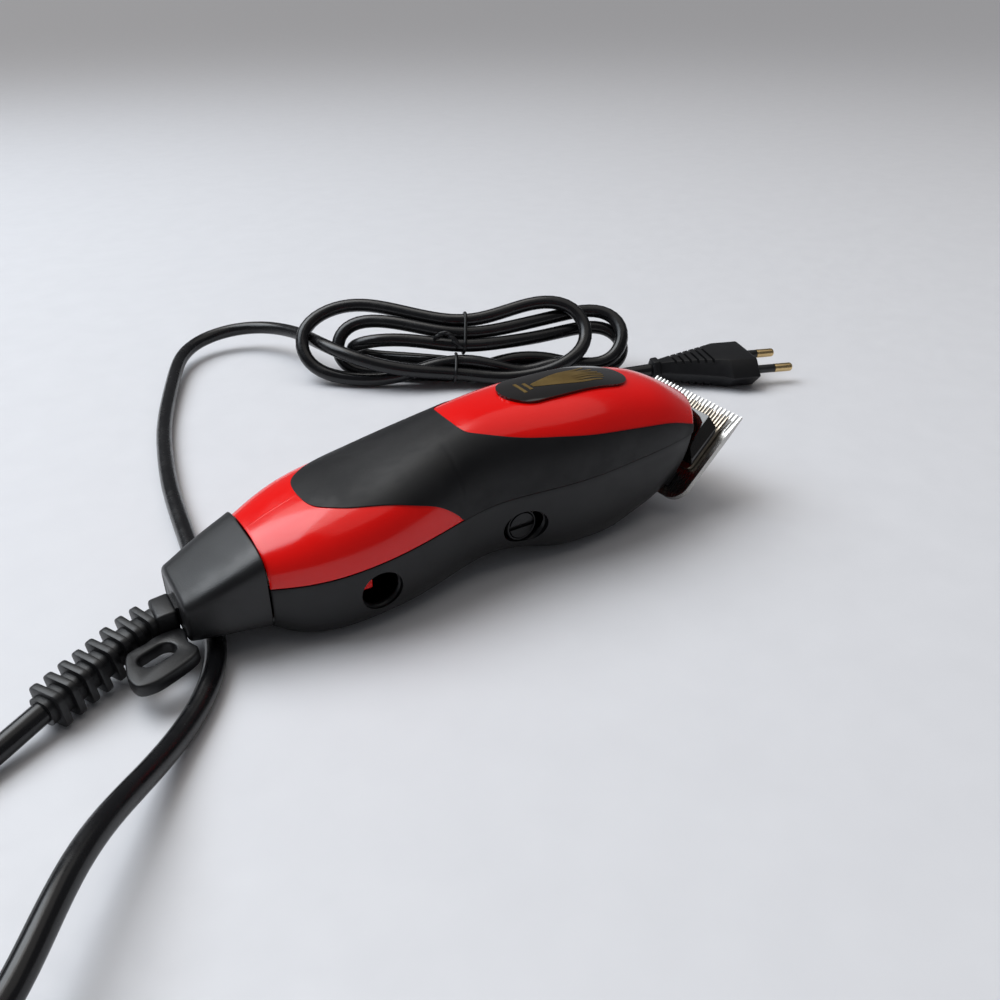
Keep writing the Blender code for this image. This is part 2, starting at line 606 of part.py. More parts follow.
def make_motor():
    """Laminated core, coil, armature with its drive arm, pivot, springs and screws."""
    core_outline = [(52, -3.5), (60, -3.5), (60, 6), (84, 6), (84, -3.5), (92, -3.5), (92, 11), (52, 11)]
    holes = [arc(centre, 1.9, 0, 324, 9) for centre in MOTOR_SCREWS]
    part(plate_curve("stator_core", [core_outline] + holes, 16, 32), LAMINATION)
    for index, (x, y) in enumerate(MOTOR_SCREWS):
        screw = rod(f"motor_screw_{index + 1}", 3.0, (x, y, 32.3), (x, y, 34.5), 12)
        boolean(screw, cutter(rod(f"motor_shank_{index}", 1.5, (x, y, 11.2), (x, y, 33), 10)), "UNION")
        part(screw, STEEL)

    bobbin = box("coil_bobbin", (61, 1.8, 11.5), (62.5, 15.2, 36.5))
    boolean(bobbin, cutter(box("bobbin_flange", (81.5, 1.8, 11.5), (83, 15.2, 36.5))), "UNION")
    boolean(bobbin, cutter(box("bobbin_sleeve", (61.5, 4.4, 14.4), (82.5, 12.6, 33.6))), "UNION")
    boolean(bobbin, cutter(box("bobbin_bore", (60, 5.6, 15.6), (84, 11.4, 32.4))), "DIFFERENCE")
    part(bobbin, NYLON, smooth=False)
    winding = box("coil_winding", (62.8, 2.2, 12), (81.2, 14.8, 36), 1.2)
    boolean(winding, cutter(box("winding_bore", (61, 4.1, 14.1), (83, 12.9, 33.9))), "DIFFERENCE")
    part(winding, COPPER, smooth=False)

    px, py = ARMATURE_PIVOT
    armature = box("armature", (50, -8.6, 17), (94, -4.8, 31), 0.4)
    part(armature, LAMINATION, smooth=False)
    arm = box("drive_arm", (px - 3, -11.4, 14), (104, -8.9, 24))
    boolean(arm, cutter(rod("arm_hub", 3.4, (px, py, 14), (px, py, 24), 16)), "UNION")
    boolean(arm, cutter(box("arm_step", (101, -11.4, 16), (104, 1.8, 24))), "UNION")
    boolean(arm, cutter(box("arm_reach", (101, -1.8, 17.5), (141, 1.8, 24))), "UNION")
    boolean(arm, cutter(rod("arm_bore", 1.7, (px, py, 10), (px, py, 30), 12)), "DIFFERENCE")
    boolean(arm, cutter(rod("arm_finger", 1.5, (137, 0, 21.3), DRIVE_TIP, 12)), "UNION")
    part(arm, NYLON, smooth=False)
    part(rod("pivot_pin", 1.4, (px, py, 12), (px, py, 27), 12), STEEL)
    part(box("pivot_bracket", (px - 5, py - 2.8, 5.6), (px + 5, py + 2.8, 11.7), 0.4), STEEL, smooth=False)
    spring = curve_mesh("return_spring", helix((81, 0), 3.0, -16.0, -12.4, 3.2), 0.45, 1)
    part(spring, STEEL)


def helix(centre, radius, start_y, end_y, turns):
    """A coil spring's line along y, centred at (x, z offset) over the power screw's height."""
    points = []
    count = int(turns * 12)
    for i in range(count + 1):
        angle = 2 * math.pi * turns * i / count
        y = start_y + (end_y - start_y) * i / count
        points.append((centre[0] + radius * math.cos(angle), y, 16.4 + centre[1] + radius * math.sin(angle)))
    return points


def make_controls():
    """Power screw on the right, slide switch and taper lever on the left."""
    screw = rod("power_screw", 4.4, (81, -19.6, 16.4), (81, -16.6, 16.4), 20)
    boolean(screw, cutter(box("power_slot", (75, -21, 15.7), (87, -18.6, 17.1))), "DIFFERENCE")
    part(screw, GLOSS_BLACK)
    sleeve = rod("screw_sleeve", 5.3, (81, -19.4, 16.4), (81, -12.2, 16.4), 20)
    boolean(sleeve, cutter(rod("sleeve_bore", 4.7, (81, -21, 16.4), (81, -10, 16.4), 20)), "DIFFERENCE")
    part(sleeve, SATIN_BLACK)

    part(box("switch_body", (36, 14, 10), (52, 18.5, 20), 0.5), NYLON, smooth=False)
    button = box("switch_button", (40.5, 24.8, 8.2), (49.5, 27.0, 15.8), 0.6)
    boolean(button, cutter(box("button_stem", (42.5, 18.9, 10.4), (46.5, 25.6, 13.6))), "UNION")
    part(button, SATIN_BLACK, smooth=False)

    hub = rod("taper_lever", 6.0, (130, 24.7, 17), (130, 27.9, 17), 20)
    arm = box("lever_arm", (101, 24.8, 16.5), (130, 26.9, 22), 0.6)
    boolean(hub, cutter(arm), "UNION")
    boolean(hub, cutter(box("lever_thumb", (100, 25.2, 16.9), (105, 30.2, 21.6), 0.8)), "UNION")
    part(hub, SATIN_BLACK, smooth=False)
    cam = rod("taper_cam", 2.9, (130, 12.5, 17), (130, 24.4, 17), 16)
    boolean(cam, cutter(rod("cam_lobe", 1.6, (131.1, 9.5, 17), (131.1, 13, 17), 12)), "UNION")
    part(cam, STEEL)


def comb_outline(half_width, heel, root, tip, count, tooth_fill, corner):
    """The outline of a toothed blade: rounded heel corners, then the teeth from left to right."""
    points = arc((heel + corner, -half_width + corner), corner, 180, 270, 5)
    pitch = 2 * half_width / count
    for index in range(count):
        middle = -half_width + pitch * (index + 0.5)
        base = pitch * tooth_fill / 2
        points += [(root, middle - base), (tip - 0.6, middle - base * 0.62), (tip, middle),
                   (tip - 0.6, middle + base * 0.62), (root, middle + base)]
    points += arc((heel + corner, half_width - corner), corner, 90, 180, 5)
    return points


def make_blades():
    """Fixed blade, moving blade with its driver, guide block, seat, tension spring and screws."""
    outline = comb_outline(BLADE_HALF_WIDTH, 0, BLADE_LENGTH - TOOTH_LENGTH, BLADE_LENGTH, TOOTH_COUNT, 0.86, 6.5)
    holes = [arc((6.0, side * 12), 2.0, 0, 330, 11) for side in (-1, 1)]
    part(plate_curve("fixed_blade", [outline] + holes, 0, 2.0), STEEL, BLADES, smooth=False)
    outline = comb_outline(19.8, 12, 29, 35.6, FINE_TOOTH_COUNT, 0.8, 2)
    part(plate_curve("moving_blade", [outline], 2.3, 3.6), DARK_STEEL, BLADES, smooth=False)
    for index, side in enumerate((-1, 1)):
        screw = rod(f"blade_screw_{index + 1}", 3.4, (6.0, side * 12, -1.7), (6.0, side * 12, -GAP), 16)
        boolean(screw, cutter(rod(f"blade_shank_{index}", 1.6, (6.0, side * 12, -0.8), (6.0, side * 12, 6.6), 10),
                              BLADES), "UNION")
        boolean(screw, cutter(box(f"blade_slot_{index}", (2, side * 12 - 0.4, -2), (10, side * 12 + 0.4, -1.1)),
                              BLADES), "DIFFERENCE")
        part(screw, STEEL, BLADES)
    seat = box("blade_seat", (3.2, -16, 2.3), (9.4, 16, 8.6), 0.4)
    for index, side in enumerate((-1, 1)):
        boolean(seat, cutter(rod(f"seat_bore_{index}", 1.9, (6.0, side * 12, 1), (6.0, side * 12, 7.2), 10),
                             BLADES), "DIFFERENCE")
    part(seat, SATIN_BLACK, BLADES, smooth=False)
    part(box("tension_spring", (9.8, -11, 4.3), (10.6, 11, 9.6)), STEEL, BLADES, smooth=False)

    def slab(z, back, front, half):
        return [(back, -half, z), (front, -half, z), (front, half, z), (back, half, z)]
    guide = loft("blade_guide", [slab(3.9, 14, 28, 20), slab(6.0, 15.5, 29.6, 20), slab(8.5, 19, 31.5, 16.5)])
    boolean(guide, cutter(box("guide_slot", (16, -6.2, 3), (25.2, 6.2, 12)), BLADES), "DIFFERENCE")
    part(guide, GLOSS_BLACK, BLADES, smooth=False)
    driver = box("blade_driver", (17, -4.0, 3.9), (23.6, 4.0, 12.4))
    boolean(driver, cutter(box("driver_fork", (15, -1.9, 6.6), (25, 1.9, 14)), BLADES), "DIFFERENCE")
    part(driver, NYLON, BLADES, smooth=False)


def make_wiring():
    """The cord's inner end, its clamp and the two leads to switch and coil."""
    part(curve_mesh("inner_cord", smooth_route([(-17.4, -0.4, 14), (-10, -1, 14.2), (-2, -3, 13), (8, -6, 10)], 5),
                    CORD_RADIUS), GLOSS_BLACK)
    clamp = box("cord_clamp", (-2, -9.5, 17.2), (3, 4, 19.4), 0.4)
    part(clamp, NYLON, smooth=False)
    part(curve_mesh("live_lead", smooth_route([(10, -4.6, 10.5), (16, 2, 10), (25, 12, 10), (35.4, 17, 11)], 6), 0.9, 1),
         BROWN_WIRE)
    part(curve_mesh("neutral_lead", smooth_route([(10, -7.4, 8.5), (18, -3, 7), (28, 7, 6.5), (40, 9, 7),
                                                  (50, 3, 9), (60, 3, 13)], 6), 0.9, 1), BLUE_WIRE)


make_housing()
make_end_cap()
make_strain_relief()
make_cord()
make_motor()
make_controls()
make_blades()
make_wiring()
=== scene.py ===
"""Corded hair clipper: the looks of the whole product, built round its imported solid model.

The clipper lies on its belly with the blade towards +X, its own left side towards +Y and the table at z = 0.
Sizes are in millimetres in the housing's frame, where x = 0 is the joint between end cap and housing, and
each piece is settled into the part's own frame, in metres, before it is dressed.
"""
from __future__ import annotations

import json
import logging
import math
from collections.abc import Callable, Mapping, Sequence
from dataclasses import dataclass
from enum import Enum

import bpy
import numpy as np
from mathutils import Euler, Matrix, Vector

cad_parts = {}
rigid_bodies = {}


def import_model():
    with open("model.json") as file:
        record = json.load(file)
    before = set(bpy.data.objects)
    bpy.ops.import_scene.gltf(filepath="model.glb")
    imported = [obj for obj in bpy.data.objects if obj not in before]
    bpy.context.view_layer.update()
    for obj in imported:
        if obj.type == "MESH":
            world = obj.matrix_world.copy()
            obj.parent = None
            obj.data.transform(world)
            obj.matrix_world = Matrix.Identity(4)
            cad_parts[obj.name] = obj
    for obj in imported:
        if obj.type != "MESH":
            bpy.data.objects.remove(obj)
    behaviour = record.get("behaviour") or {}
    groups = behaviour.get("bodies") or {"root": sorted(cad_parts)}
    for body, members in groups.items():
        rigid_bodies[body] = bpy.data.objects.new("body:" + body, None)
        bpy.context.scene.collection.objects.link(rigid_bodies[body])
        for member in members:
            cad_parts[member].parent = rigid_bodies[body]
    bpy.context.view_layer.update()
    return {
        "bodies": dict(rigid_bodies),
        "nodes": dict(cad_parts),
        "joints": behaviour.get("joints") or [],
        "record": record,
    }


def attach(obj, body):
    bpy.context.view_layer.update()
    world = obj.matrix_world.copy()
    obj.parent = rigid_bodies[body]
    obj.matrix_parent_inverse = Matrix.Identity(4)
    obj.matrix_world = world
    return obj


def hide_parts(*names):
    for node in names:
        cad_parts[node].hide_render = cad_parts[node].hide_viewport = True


MM = 0.001
ORIGIN_X = 21.0
GAP = 0.3
WALL = 2.2
LOG = logging.getLogger("hair_clipper")
Colour = tuple[float, float, float]
Point = tuple[float, float, float]
Outline = list[tuple[float, float]]


# ---------------------------------------------------------------- frames and curves

@dataclass(frozen=True)
class Frame:
    """A working frame on the clipper, in housing millimetres and degrees."""

    place: Point
    turn: Point = (0.0, 0.0, 0.0)

    def matrix(self) -> Matrix:
        """The frame's matrix in the part's own frame, in metres."""
        shift = Vector((self.place[0] - ORIGIN_X, self.place[1], self.place[2])) * MM
        turn = Euler([math.radians(value) for value in self.turn]).to_matrix().to_4x4()
        return Matrix.Translation(shift) @ turn

    def points(self, local: np.ndarray) -> np.ndarray:
        """Points of this frame, in millimetres, as points of the part's frame, in metres."""
        matrix = np.array(self.matrix())
        return np.asarray(local, float) * MM @ matrix[:3, :3].T + matrix[:3, 3]


BODY = Frame((0, 0, 0))
BLADES = Frame((144.8, 0, 5.1), (0, -45, 0))
PLUG = Frame((259, 58, 7), (0, 0, -20))
HANK = Frame((128, 126, 3), (45, 0, -32.2))


class SmoothCurve:
    """A curve of even bend through (place, value) pairs."""

    def __init__(self, pairs: Sequence[tuple[float, float]]) -> None:
        """Solves the curve's bends.

        Args:
            pairs: the places in rising order, each with its value.
        """
        self.place, self.value = np.array(pairs, float).T
        gaps = np.diff(self.place)
        slopes = np.diff(self.value) / gaps
        count = len(self.place)
        system, right = np.eye(count), np.zeros(count)
        for i in range(1, count - 1):
            system[i, i - 1:i + 2] = gaps[i - 1], 2 * (gaps[i - 1] + gaps[i]), gaps[i]
            right[i] = 6 * (slopes[i] - slopes[i - 1])
        self.bend = np.linalg.solve(system, right)

    def __call__(self, at: np.ndarray) -> np.ndarray:
        """The curve's value at each place."""
        at = np.asarray(at, float)
        i = np.clip(np.searchsorted(self.place, at) - 1, 0, len(self.place) - 2)
        span = self.place[i + 1] - self.place[i]
        a = (self.place[i + 1] - at) / span
        b = 1 - a
        bend = ((a**3 - a) * self.bend[i] + (b**3 - b) * self.bend[i + 1]) * span**2 / 6
        return a * self.value[i] + b * self.value[i + 1] + bend


def arc(centre: tuple[float, float], radius: float, start: float, end: float, steps: int) -> Outline:
    """Points on an arc in a plane.

    Args:
        centre: the arc's centre.
        radius: its radius.
        start: the first angle in degrees.
        end: the last angle in degrees.
        steps: how many steps lie between them.

    Returns:
        The points in order.
    """
    angles = [math.radians(start + (end - start) * i / steps) for i in range(steps + 1)]
    return [(centre[0] + radius * math.cos(a), centre[1] + radius * math.sin(a)) for a in angles]


def stadium(centre: tuple[float, float], half_length: float, radius: float, turn: float,
            steps: int) -> Outline:
    """A slot's outline: two half circles joined by straight sides.

    Args:
        centre: the slot's centre.
        half_length: half the distance between the half circles' centres.
        radius: the half circles' radius.
        turn: the slot's turn in degrees.
        steps: steps on each half circle.

    Returns:
        The outline's points in order.
    """
    points = arc((half_length, 0), radius, -90, 90, steps) + arc((-half_length, 0), radius, 90, 270, steps)
    rotation = Matrix.Rotation(math.radians(turn), 2)
    return [tuple(rotation @ Vector(point) + Vector(centre)) for point in points]


def run_through(points: np.ndarray, spacing: float, closed: bool = False) -> np.ndarray:
    """A smooth run of points through a few placed ones.

    Args:
        points: the placed points, one row each.
        spacing: the distance between points of the run.
        closed: whether the run comes back to its start.

    Returns:
        The run's points.
    """
    points = np.asarray(points, float)
    if closed:
        points = np.vstack([points[-1:], points, points[:2]])
    else:
        points = np.vstack([2 * points[0] - points[1], points, 2 * points[-1] - points[-2]])
    knots = np.concatenate([[0], np.cumsum(np.linalg.norm(np.diff(points, axis=0), axis=1) ** 0.5)])
    run = []
    for i in range(1, len(points) - 2):
        count = max(1, round(np.linalg.norm(points[i + 1] - points[i]) / spacing))
        for t in np.linspace(knots[i], knots[i + 1], count, endpoint=False):
            row = [points[i - 1 + k] for k in range(4)]
            for level in range(1, 4):
                for k in range(4 - level):
                    low, high = knots[i - 1 + k], knots[i - 1 + k + level]
                    if level == 3:
                        low, high = knots[i], knots[i + 1]
                    elif level == 2:
                        low, high = knots[i - 1 + k], knots[i + 1 + k]
                    row[k] = ((high - t) * row[k] + (t - low) * row[k + 1]) / (high - low)
            run.append(row[0])
    if not closed:
        run.append(points[-2])
    return np.array(run)


# ---------------------------------------------------------------- hand tools

class Bench:
    """Hand tools for modelling. Each works on one object alone, in millimetres of its frame."""

    @staticmethod
    def only(obj: bpy.types.Object) -> None:
        """Selects one object and makes it the active one."""
        bpy.ops.object.select_all(action="DESELECT")
        obj.select_set(True)
        bpy.context.view_layer.objects.active = obj

    @staticmethod
    def cube(name: str, low: Point, high: Point) -> bpy.types.Object:
        """A cube primitive between two corners.

        Args:
            name: the object's name.
            low: the lowest corner.
            high: the highest corner.

        Returns:
            The new object.
        """
        bpy.ops.object.select_all(action="DESELECT")
        centre = [(a + b) / 2 * MM for a, b in zip(low, high)]
        size = [(b - a) * MM for a, b in zip(low, high)]
        bpy.ops.mesh.primitive_cube_add(size=1, location=centre, scale=size)
        return Bench.fixed(bpy.context.object, name)

    @staticmethod
    def cylinder(name: str, radius: float, start: Point, end: Point, sides: int = 64,
                 end_radius: float | None = None) -> bpy.types.Object:
        """A cylinder or cone primitive between two points.

        Args:
            name: the object's name.
            radius: the radius at the start.
            start: the centre of the first end.
            end: the centre of the other end.
            sides: how many sides it has.
            end_radius: the radius at the other end, if it differs.

        Returns:
            The new object.
        """
        bpy.ops.object.select_all(action="DESELECT")
        first, last = Vector(start) * MM, Vector(end) * MM
        along = last - first
        turn = Vector((0, 0, 1)).rotation_difference(along).to_euler()
        far = radius if end_radius is None else end_radius
        bpy.ops.mesh.primitive_cone_add(vertices=sides, radius1=radius * MM, radius2=far * MM,
                                        depth=along.length, location=(first + last) / 2, rotation=turn)
        return Bench.fixed(bpy.context.object, name)

    @staticmethod
    def fixed(obj: bpy.types.Object, name: str) -> bpy.types.Object:
        """Names an object and puts its place, turn and size into its mesh."""
        obj.name = name
        Bench.only(obj)
        bpy.ops.object.transform_apply(location=True, rotation=True, scale=True)
        return obj

    @staticmethod
    def loft(name: str, rings: np.ndarray, around: bool = True, wrap: bool = False,
             caps: bool = True, flip: bool = False) -> bpy.types.Object:
        """A grid primitive laid through rings of points.

        Args:
            name: the object's name.
            rings: the points, by ring, by place on the ring, by axis.
            around: whether each ring is closed.
            wrap: whether the last ring joins the first.
            caps: whether open ends are filled.
            flip: whether an open sheet is turned over.

        Returns:
            The new object, with its doubles merged and its faces outwards.
        """
        rings = np.asarray(rings, float)
        if around:
            rings = np.concatenate([rings, rings[:, :1]], axis=1)
        if wrap:
            rings = np.concatenate([rings, rings[:1]], axis=0)
        rows, columns = rings.shape[0] - 1, rings.shape[1] - 1
        bpy.ops.object.select_all(action="DESELECT")
        bpy.ops.mesh.primitive_grid_add(x_subdivisions=rows, y_subdivisions=columns, size=2)
        obj = bpy.context.object
        obj.name = name
        flat = np.empty(len(obj.data.vertices) * 3)
        obj.data.vertices.foreach_get("co", flat)
        grid = flat.reshape(-1, 3)
        row = np.rint((grid[:, 0] + 1) / 2 * rows).astype(int)
        column = np.rint((grid[:, 1] + 1) / 2 * columns).astype(int)
        obj.data.vertices.foreach_set("co", (rings[row, column] * MM).ravel())
        obj.data.update()
        bpy.ops.object.mode_set(mode="EDIT")
        bpy.ops.mesh.select_all(action="SELECT")
        bpy.ops.mesh.remove_doubles(threshold=1e-6)
        if around and caps and not wrap:
            bpy.ops.mesh.fill_holes(sides=0)
        if around:
            bpy.ops.mesh.select_all(action="SELECT")
            bpy.ops.mesh.normals_make_consistent(inside=False)
        elif flip:
            bpy.ops.mesh.flip_normals()
        bpy.ops.object.mode_set(mode="OBJECT")
        return obj

    @staticmethod
    def plate(name: str, outline: Outline, low: float, high: float) -> bpy.types.Object:
        """A flat plate: a filled circle primitive takes the outline's points and is extruded.

        Args:
            name: the object's name.
            outline: the points of its edge in order.
            low: the height of its under side.
            high: the height of its top.

        Returns:
            The new object.
        """
        bpy.ops.object.select_all(action="DESELECT")
        bpy.ops.mesh.primitive_circle_add(vertices=len(outline), radius=1, fill_type="NGON")
        obj = bpy.context.object
        obj.name = name
        for vertex, (x, y) in zip(obj.data.vertices, outline):
            vertex.co = (x * MM, y * MM, low * MM)
        bpy.ops.object.mode_set(mode="EDIT")
        bpy.ops.mesh.select_all(action="SELECT")
        bpy.ops.mesh.extrude_region_move(TRANSFORM_OT_translate={"value": (0, 0, (high - low) * MM)})
        bpy.ops.mesh.select_all(action="SELECT")
        bpy.ops.mesh.normals_make_consistent(inside=False)
        bpy.ops.object.mode_set(mode="OBJECT")
        return obj

    @staticmethod
    def pick(obj: bpy.types.Object, test: Callable[[Vector, Vector], bool], edges: bool = False) -> None:
        """Selects faces or edges by their place and direction, for the next edit.

        Args:
            obj: the object.
            test: takes a centre, in millimetres, and a normal or an edge's direction.
            edges: whether edges are picked in place of faces.
        """
        mesh = obj.data
        bpy.context.tool_settings.mesh_select_mode = (False, edges, not edges)
        for group in (mesh.vertices, mesh.edges, mesh.polygons):
            group.foreach_set("select", [False] * len(group))
        if edges:
            for edge in mesh.edges:
                first, last = (mesh.vertices[i].co for i in edge.vertices)
                edge.select = test((first + last) / 2 / MM, (last - first).normalized())
        else:
            for face in mesh.polygons:
                face.select = test(face.center / MM, face.normal)

    @staticmethod
    def edit(obj: bpy.types.Object, *steps: Callable[[], object]) -> None:
        """Runs a few operators on the picked faces or edges of one object."""
        Bench.only(obj)
        bpy.ops.object.mode_set(mode="EDIT")
        for step in steps:
            step()
        bpy.ops.object.mode_set(mode="OBJECT")

    @staticmethod
    def modify(obj: bpy.types.Object, kind: str, **settings: object) -> None:
        """Adds one modifier, sets it and applies it."""
        Bench.only(obj)
        step = obj.modifiers.new(kind.lower(), kind)
        for key, value in settings.items():
            setattr(step, key, value)
        bpy.ops.object.modifier_apply(modifier=step.name)

    @staticmethod
    def soften(obj: bpy.types.Object, width: float, segments: int = 3, angle: float = 40) -> None:
        """Rounds every edge that is sharper than an angle."""
        Bench.modify(obj, "BEVEL", width=width * MM, segments=segments, limit_method="ANGLE",
                     angle_limit=math.radians(angle), use_clamp_overlap=True)

    @staticmethod
    def cut(obj: bpy.types.Object, *others: bpy.types.Object) -> None:
        """Takes other solids out of one, and puts them away."""
        tool = Bench.merge("tool", others)
        Bench.modify(obj, "BOOLEAN", object=tool, operation="DIFFERENCE", solver="EXACT")
        bpy.data.objects.remove(tool, do_unlink=True)

    @staticmethod
    def weld(obj: bpy.types.Object, other: bpy.types.Object) -> None:
        """Makes one body of two solids that run into each other."""
        Bench.modify(obj, "BOOLEAN", object=other, operation="UNION", solver="EXACT")
        bpy.data.objects.remove(other, do_unlink=True)

    @staticmethod
    def merge(name: str, objects: Sequence[bpy.types.Object]) -> bpy.types.Object:
        """Joins several objects into one.

        Args:
            name: the name of the whole.
            objects: what is joined.

        Returns:
            The whole.
        """
        if len(objects) > 1:
            Bench.only(objects[0])
            for other in objects[1:]:
                other.select_set(True)
            bpy.ops.object.join()
        objects[0].name = name
        return objects[0]

    @staticmethod
    def repeat(obj: bpy.types.Object, name: str, matrix: Matrix) -> bpy.types.Object:
        """A copy with its own mesh, moved by a matrix in millimetres.

        Args:
            obj: what is copied.
            name: the copy's name.
            matrix: where the copy goes, with its shift in millimetres.

        Returns:
            The copy.
        """
        twin = obj.copy()
        twin.data = obj.data.copy()
        bpy.context.scene.collection.objects.link(twin)
        matrix = matrix.copy()
        matrix.translation *= MM
        twin.matrix_world = matrix
        return Bench.fixed(twin, name)

    @staticmethod
    def wire(name: str, runs: Sequence[np.ndarray], radius: float, frame: Frame,
             resolution: int = 5) -> bpy.types.Object:
        """A round wire along one or more runs of points.

        Args:
            name: the object's name.
            runs: the runs of points, in millimetres of the frame.
            radius: the wire's radius.
            frame: the frame of the points.
            resolution: how finely the wire's round is divided.

        Returns:
            The curve object.
        """
        data = bpy.data.curves.new(name, "CURVE")
        data.dimensions = "3D"
        data.bevel_depth = radius * MM
        data.bevel_resolution = resolution
        data.use_fill_caps = True
        for run in runs:
            spline = data.splines.new("POLY")
            spline.points.add(len(run) - 1)
            for target, (x, y, z) in zip(spline.points, frame.points(run)):
                target.co = (x, y, max(z, radius * 1.05 * MM), 1)
            spline.use_smooth = True
        obj = bpy.data.objects.new(name, data)
        bpy.context.scene.collection.objects.link(obj)
        return obj


def fit(obj: bpy.types.Object, finish: Finish, body: str, nodes: Sequence[str], frame: Frame = BODY,
        smooth: float | None = 35) -> bpy.types.Object:
    """Settles a piece in place, dresses it and lets it ride on its body.

    Args:
        obj: the piece, in metres of its own working frame.
        finish: what it is made of.
        body: the body that it moves with.
        nodes: the solid nodes that it stands for.
        frame: its working frame.
        smooth: the sharpest angle in degrees that is shaded smooth, or None to leave shading.

    Returns:
        The piece.
    """
    if obj.type == "MESH":
        obj.matrix_world = frame.matrix()
        Bench.fixed(obj, obj.name)
        if smooth is not None:
            bpy.ops.object.shade_smooth_by_angle(angle=math.radians(smooth))
    obj.data.materials.clear()
    obj.data.materials.append(finish.material())
    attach(obj, body)
    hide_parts(*nodes)
    LOG.info("%s rides on %s", obj.name, body)
    return obj


# ---------------------------------------------------------------- finishes

class Value:
    """A number that changes over a surface, written with ordinary arithmetic."""

    def __init__(self, graph: Graph, socket: bpy.types.NodeSocket) -> None:
        """Keeps the socket and the graph that it belongs to."""
        self.graph = graph
        self.socket = socket

    def _step(self, operation: str, first: object, second: object = 0.0) -> Value:
        """One Math node."""
        return self.graph.node("ShaderNodeMath", {"operation": operation}, {0: first, 1: second})

    def __add__(self, other: Value | float) -> Value:
        """self + other."""
        return self._step("ADD", self, other)

    def __radd__(self, other: float) -> Value:
        """other + self."""
        return self._step("ADD", other, self)

    def __sub__(self, other: Value | float) -> Value:
        """self - other."""
        return self._step("SUBTRACT", self, other)

    def __rsub__(self, other: float) -> Value:
        """other - self."""
        return self._step("SUBTRACT", other, self)

    def __mul__(self, other: Value | float) -> Value:
        """self * other."""
        return self._step("MULTIPLY", self, other)

    def __rmul__(self, other: float) -> Value:
        """other * self."""
        return self._step("MULTIPLY", other, self)

    def __abs__(self) -> Value:
        """The size without its sign."""
        return self._step("ABSOLUTE", self)

    def between(self, low: float, high: float) -> Value:
        """0 at low, 1 at high and an even ramp between them, whichever is larger."""
        return self.graph.node("ShaderNodeMapRange", {"clamp": True},
                               {"Value": self, "From Min": low, "From Max": high})


class Graph:
    """The nodes of one material."""

    def __init__(self, name: str) -> None:
        """Starts a material with its Principled shader."""
        self.material = bpy.data.materials.new(name)
        self.material.use_nodes = True
        self.tree = self.material.node_tree
        self.shader = self.tree.nodes["Principled BSDF"]
        self.place = self.node("ShaderNodeTexCoord", {}, {}, "Object")

    def node(self, kind: str, settings: Mapping[str, object], sockets: Mapping[str | int, object],
             output: str | int = 0) -> Value:
        """One node, set and fed.

        Args:
            kind: the node's type.
            settings: its own settings, set first; "stops" holds a ramp's stops.
            sockets: a value or link for each socket.
            output: which output is wanted.

        Returns:
            The output.
        """
        node = self.tree.nodes.new(kind)
        for key, value in settings.items():
            if key == "stops":
                for stop, (place, shade) in zip(node.color_ramp.elements, value):
                    stop.position, stop.color = place, shade
            else:
                setattr(node, key, value)
        for key, value in sockets.items():
            self.feed(node.inputs[key], value)
        return Value(self, node.outputs[output])

    def feed(self, socket: bpy.types.NodeSocket, value: object) -> None:
        """Links a value to a socket, or sets the socket to it."""
        if isinstance(value, Value):
            self.tree.links.new(value.socket, socket)
        else:
            socket.default_value = value

    def dress(self, **sockets: object) -> None:
        """Feeds the Principled shader, with underscores for the spaces in its socket names."""
        for key, value in sockets.items():
            self.feed(self.shader.inputs[key.replace("_", " ")], value)

    def mapped(self, stretch: Point, turn: Point = (0, 0, 0)) -> Value:
        """Object coordinates, turned in degrees and stretched."""
        angles = [math.radians(value) for value in turn]
        return self.node("ShaderNodeMapping", {},
                         {"Vector": self.place, "Scale": stretch, "Rotation": angles})

    def noise(self, scale: float, detail: float = 2.0, roughness: float = 0.5,
              place: Value | None = None) -> Value:
        """Soft noise, about 0 to 1."""
        sockets = {"Vector": place or self.place, "Scale": scale, "Detail": detail, "Roughness": roughness}
        return self.node("ShaderNodeTexNoise", {}, sockets, "Fac")

    def pits(self, scale: float) -> Value:
        """Distance to the nearest of many scattered points."""
        return self.node("ShaderNodeTexVoronoi", {"feature": "F1"}, {"Vector": self.place, "Scale": scale},
                         "Distance")

    def axis(self, name: str) -> Value:
        """One of the object coordinates, in metres."""
        return self.node("ShaderNodeSeparateXYZ", {}, {0: self.place}, name)

    def blend(self, share: Value, first: Colour, second: Colour) -> Value:
        """A colour between two, by a share."""
        return self.node("ShaderNodeMix", {"data_type": "RGBA"},
                         {0: share, 6: (*first, 1), 7: (*second, 1)}, 2)

    def relief(self, height: Value, depth: float, strength: float = 1.0) -> Value:
        """A bumped normal from a height of 0 to 1 and its depth in metres."""
        return self.node("ShaderNodeBump", {}, {"Height": height, "Distance": depth, "Strength": strength},
                         "Normal")


